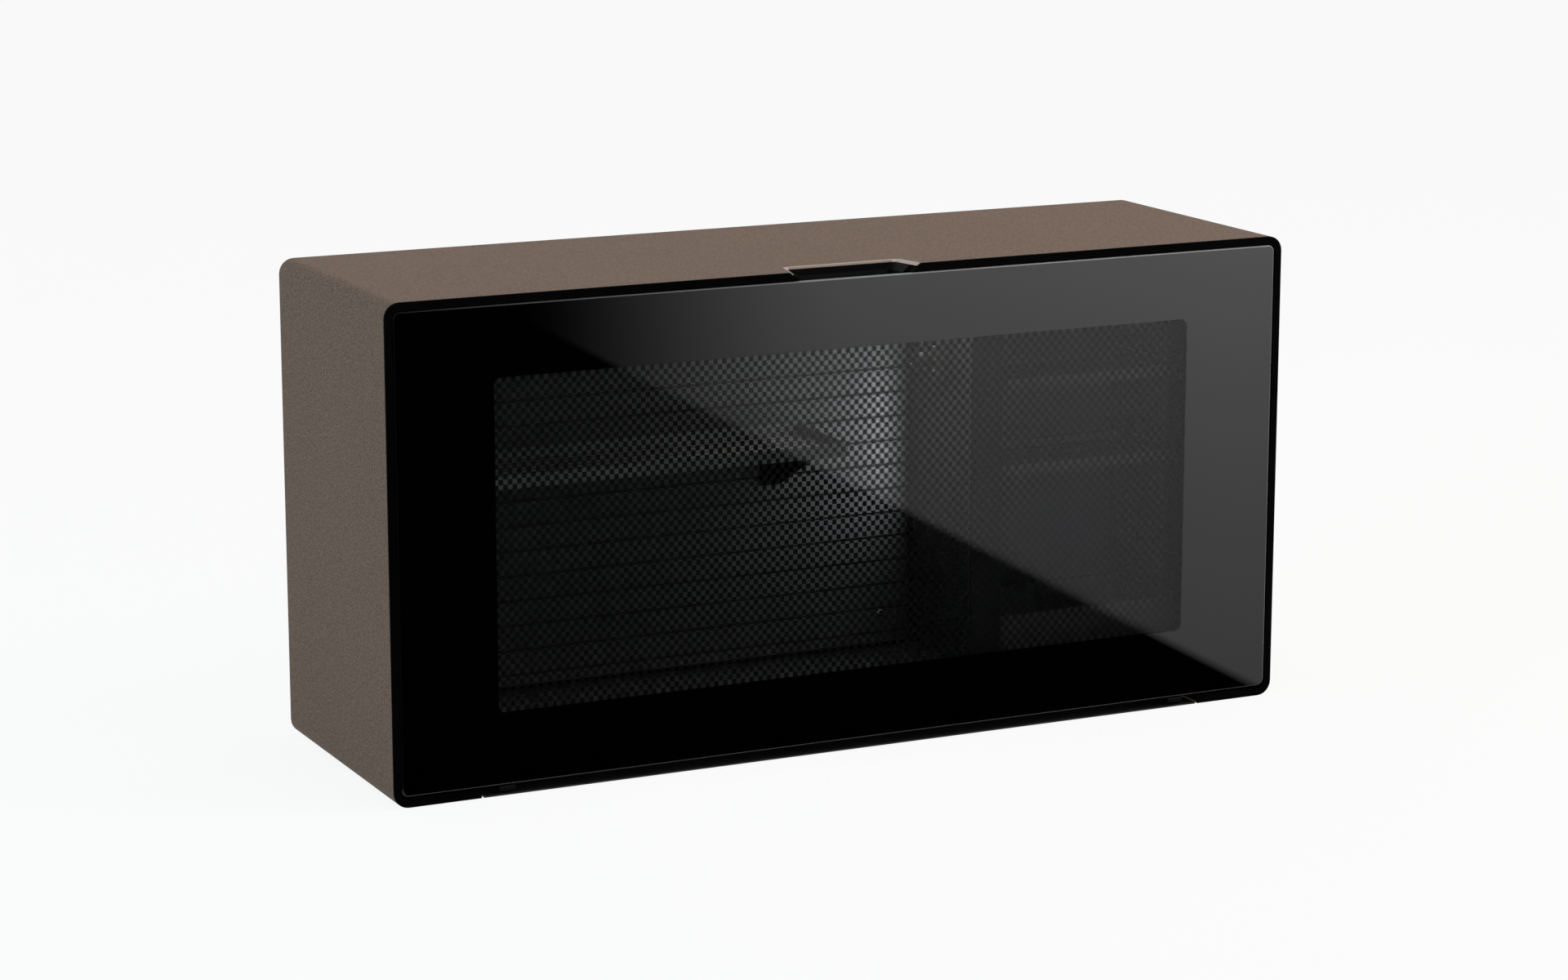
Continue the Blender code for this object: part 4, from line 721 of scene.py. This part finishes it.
def ribs(name, node, margin, floor_up):
    """Low anti-slip ribs moulded on the floor of a shelf or tray, from its left end to its right end."""
    low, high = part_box(node)
    z = low.z + floor_up
    start = low.y + margin
    count = int((high.y - low.y - 2 * margin) / RIB_PITCH)
    pitch = (high.y - low.y - 2 * margin) / count
    section = ((-RIB_FOOT, 0.0), (-RIB_TOP, RIB_HIGH), (RIB_TOP, RIB_HIGH), (RIB_FOOT, 0.0))
    bm = bmesh.new()
    for i in range(count + 1):
        middle = start + i * pitch
        left, right = [[bm.verts.new((x, middle + across, z + up)) for across, up in section]
                       for x in (low.x + margin, high.x - margin)]
        for j in range(len(section) - 1):
            bm.faces.new((left[j], left[j + 1], right[j + 1], right[j]))
        bm.faces.new(left)
        bm.faces.new(right)
    bmesh.ops.recalc_face_normals(bm, faces=bm.faces[:])
    piece_from(name, bm, GRAINED, "cabinet", FLAT_FORM)


def knob_marks():
    """A ring of raised dots round the thermostat knob, growing with the setting."""
    low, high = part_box("thermostat_housing")
    middle = (low + high) / 2
    bm = bmesh.new()
    for i in range(DIAL_MARKS):
        angle = math.radians(DIAL_START + DIAL_STEP * i)
        y = middle.y + DIAL_RADIUS * math.sin(angle)
        z = middle.z + DIAL_RADIUS * math.cos(angle)
        radius = DOT_FIRST + DOT_MORE * i
        rings = []
        for share, out in DOT_PROFILE:
            ring = []
            for k in range(DOT_SIDES):
                turn = 2 * math.pi * k / DOT_SIDES
                ring.append(bm.verts.new((low.x - out, y + radius * share * math.sin(turn),
                                          z + radius * share * math.cos(turn))))
            rings.append(ring)
        for first, second in zip(rings, rings[1:]):
            bridge(bm, first, second)
        bm.faces.new(rings[-1])
    bmesh.ops.recalc_face_normals(bm, faces=bm.faces[:])
    piece_from("knob_marks", bm, MARK, "cabinet", ROUND_FORM)


def knob_pointer():
    """A raised pointer on the knob's face. At rest it points at the smallest dot."""
    low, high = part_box("thermostat_knob")
    middle = (low + high) / 2
    shoulder = POINTER_TO - POINTER_HALF
    outline = ((POINTER_FROM, -POINTER_HALF / 2), (shoulder, -POINTER_HALF), (POINTER_TO, 0.0),
               (shoulder, POINTER_HALF), (POINTER_FROM, POINTER_HALF / 2))
    angle = math.radians(DIAL_START)
    bm = bmesh.new()
    rings = []
    for out, narrow in ((0.0, 1.0), (POINTER_HIGH, POINTER_TAPER)):
        ring = []
        for along, across in outline:
            across *= narrow
            ring.append(bm.verts.new((low.x - out,
                                      middle.y + along * math.sin(angle) + across * math.cos(angle),
                                      middle.z + along * math.cos(angle) - across * math.sin(angle))))
        rings.append(ring)
    bridge(bm, *rings)
    bm.faces.new(rings[1])
    bmesh.ops.recalc_face_normals(bm, faces=bm.faces[:])
    piece_from("knob_pointer", bm, MARK, "thermostat_knob", FLAT_FORM)


glass_print()
cabinet_screws()
door_screws()
ribs("shelf_ribs", "cabin_shelf", SHELF_MARGIN, SHELF_FLOOR)
ribs("top_tray_ribs", "top_tray", TRAY_MARGIN, TRAY_FLOOR)
ribs("middle_tray_ribs", "middle_tray", TRAY_MARGIN, TRAY_FLOOR)
ribs("bin_ribs", "bottom_bin", TRAY_MARGIN, TRAY_FLOOR)
knob_marks()
knob_pointer()


def flat_sheet(name, corners, height, material):
    """A level rectangle of the studio, given by its x and y corners."""
    mesh = bpy.data.meshes.new(name)
    mesh.from_pydata([(x, y, 0.0) for x, y in corners], [], [(0, 1, 2, 3)])
    mesh.materials.append(material)
    sheet = bpy.data.objects.new(name, mesh)
    sheet.location.z = height
    bpy.context.scene.collection.objects.link(sheet)
    return sheet


def background_ray(tree):
    """1 for a ray that shows the background, straight or mirrored or through glass, and 0 for any other."""
    path = add(tree, "LightPath")
    straight = add(tree, "Math", {"operation": "MAXIMUM"}, n0=path.outputs["Is Camera Ray"],
                   n1=path.outputs["Is Glossy Ray"])
    return add(tree, "Math", {"operation": "MAXIMUM"}, n0=straight, n1=path.outputs["Is Transmission Ray"])


def studio_floor():
    """Pale matt paper. To the eye it runs into the white surround, with the soft shadow left on it."""
    made, tree = new_material("pale_studio_paper")
    place = add(tree, "TexCoord").outputs["Object"]
    slow = add(tree, "TexNoise", Vector=place, Scale=FLOOR_CLOUDS, Detail=2.0)
    cloudy = add(tree, "Mix", {"data_type": "RGBA"}, n0=slow, n6=linear("#e9e9e9"), n7=linear("#efefef"))
    matt = add(tree, "BsdfDiffuse", Color=cloudy.outputs[2])
    glow = add(tree, "Emission", Color=linear("#fefefe"), Strength=1.0)
    share = add(tree, "Math", {"operation": "MULTIPLY"}, n0=background_ray(tree), n1=FLOOR_GLOW)
    add(tree, "OutputMaterial", Surface=add(tree, "MixShader", n0=share, n1=matt, n2=glow))
    corners = [(x * FLOOR_HALF, y * FLOOR_HALF) for x, y in ((-1, -1), (1, -1), (1, 1), (-1, 1))]
    return flat_sheet("studio_floor", corners, -FLOOR_DOWN, made)


def floor_reflector():
    """The card on the floor that the front glass mirrors: black on the left, rising to white on the right.

    Its white part ends on a straight slanting line. Its columns fan out from the photograph's camera, so
    that the rise runs from left to right along the door. It lies fixed, and only mirror images show it.
    """
    made, tree = new_material("black_to_white_card")
    parts = add(tree, "SeparateXYZ", Vector=add(tree, "TexCoord").outputs["Object"])
    reach = PANE_LOW.y - CAMERA_PLACE[1]
    away = add(tree, "Math", {"operation": "MULTIPLY_ADD"}, n0=parts.outputs["Y"], n1=-1.0, n2=PANE_LOW.y)
    edge = add(tree, "Math", {"operation": "MULTIPLY_ADD"}, n0=away, n1=WHITE_EDGE_LEAN, n2=WHITE_EDGE)
    past = add(tree, "Math", {"operation": "SUBTRACT"}, n0=parts.outputs["X"], n1=edge)
    sharp = add(tree, "MapRange", Value=past, From_Max=WHITE_EDGE_SOFT)
    shifted = add(tree, "Math", {"operation": "MULTIPLY_ADD"}, n0=away, n1=CAMERA_PLACE[0] / reach,
                  n2=parts.outputs["X"])
    widened = add(tree, "Math", {"operation": "MULTIPLY_ADD"}, n0=away, n1=1 / reach, n2=1.0)
    column = add(tree, "Math", {"operation": "DIVIDE"}, n0=shifted, n1=widened)
    fade = add(tree, "MapRange", {"interpolation_type": "SMOOTHSTEP"}, Value=column, From_Min=FADE_LEFT,
               From_Max=FADE_RIGHT)
    rise = add(tree, "MapRange", Value=column, From_Min=-RISE_HALF, From_Max=RISE_HALF, To_Min=RISE_LOW,
               To_Max=1.0)
    far = add(tree, "MapRange", Value=away, From_Min=0.0, From_Max=FAR_REACH, To_Min=FAR_LOW, To_Max=1.0)
    ramp = sharp
    for factor in (fade, rise, far, CARD_GLOW):
        ramp = add(tree, "Math", {"operation": "MULTIPLY"}, n0=ramp, n1=factor)
    add(tree, "OutputMaterial", Surface=add(tree, "Emission", Strength=ramp))
    near = PANE_LOW.y - CARD_NEAR
    far_edge = PANE_LOW.y - CARD_FAR
    corners = [(CARD_LEFT, far_edge), (CARD_RIGHT, far_edge), (CARD_RIGHT, near), (CARD_LEFT, near)]
    card = flat_sheet("floor_reflector", corners, CARD_UP, made)
    card.visible_camera = False
    card.visible_diffuse = False
    card.visible_transmission = False
    card.visible_shadow = False
    return card


def lamp(name, place, aim, size, watts, colour=(1.0, 1.0, 1.0)):
    """A soft round lamp that the camera doesn't see."""
    data = bpy.data.lights.new(name, "AREA")
    data.color = colour
    data.shape = "DISK"
    data.size = size
    data.energy = watts
    made = bpy.data.objects.new(name, data)
    made.location = place
    made.rotation_mode = "QUATERNION"
    made.rotation_quaternion = (Vector(aim) - Vector(place)).to_track_quat("-Z", "Y")
    made.visible_camera = False
    bpy.context.scene.collection.objects.link(made)
    return made


def cabin_lamp():
    """An upright strip at the cabin's right wall. It gives the slats the photograph's pale right ends."""
    low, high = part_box("back_slat_panel")
    middle = high.z - CABIN_LAMP_TALL / 2
    made = lamp("cabin_lamp", place=(high.x - CABIN_LAMP_IN, low.y - CABIN_LAMP_OUT, middle),
                aim=(low.x, low.y, middle), size=CABIN_LAMP_WIDE, watts=CABIN_LAMP_WATTS)
    made.data.shape = "RECTANGLE"
    made.data.size_y = CABIN_LAMP_TALL
    made.visible_glossy = False
    return made


def white_surround():
    """An even white, dimmer as light than as background."""
    world = bpy.data.worlds.new("white_surround")
    bpy.context.scene.world = world
    world.use_nodes = True
    tree = world.node_tree
    tree.nodes.clear()
    strength = add(tree, "MapRange", Value=background_ray(tree), To_Min=SURROUND_LIGHT, To_Max=1.0)
    back = add(tree, "Background", Color=(1.0, 1.0, 1.0, 1.0), Strength=strength)
    add(tree, "OutputWorld", Surface=back)


def photo_camera():
    """The camera at the photograph's place and angle."""
    data = bpy.data.cameras.new("camera")
    data.sensor_width = CAMERA_SENSOR
    data.lens = CAMERA_LENS
    data.clip_start = CAMERA_SEES_FROM
    data.clip_end = CAMERA_SEES_TO
    made = bpy.data.objects.new("camera", data)
    made.location = CAMERA_PLACE
    made.rotation_euler = (math.radians(90 - CAMERA_DOWN), 0.0, math.radians(CAMERA_TURN))
    bpy.context.scene.collection.objects.link(made)
    return made


studio_floor()
floor_reflector()
lamp("key_lamp", place=(2.1, -1.3, 2.2), aim=(0.3, 0.0, 0.3), size=1.3, watts=36.0,
         colour=(1.0, 0.84, 0.72))
lamp("front_lamp", place=(0.9, -3.0, 1.5), aim=(0.1, 0.0, 0.2), size=1.4, watts=16.0)
lamp("left_lamp", place=(-2.6, -0.4, 1.6), aim=(-0.4, 0.0, 0.2), size=1.2, watts=19.0,
         colour=(0.2, 0.7, 1.0))
cabin_lamp()
white_surround()
bpy.context.scene.camera = photo_camera()
bpy.context.scene.view_settings.view_transform = "Standard"
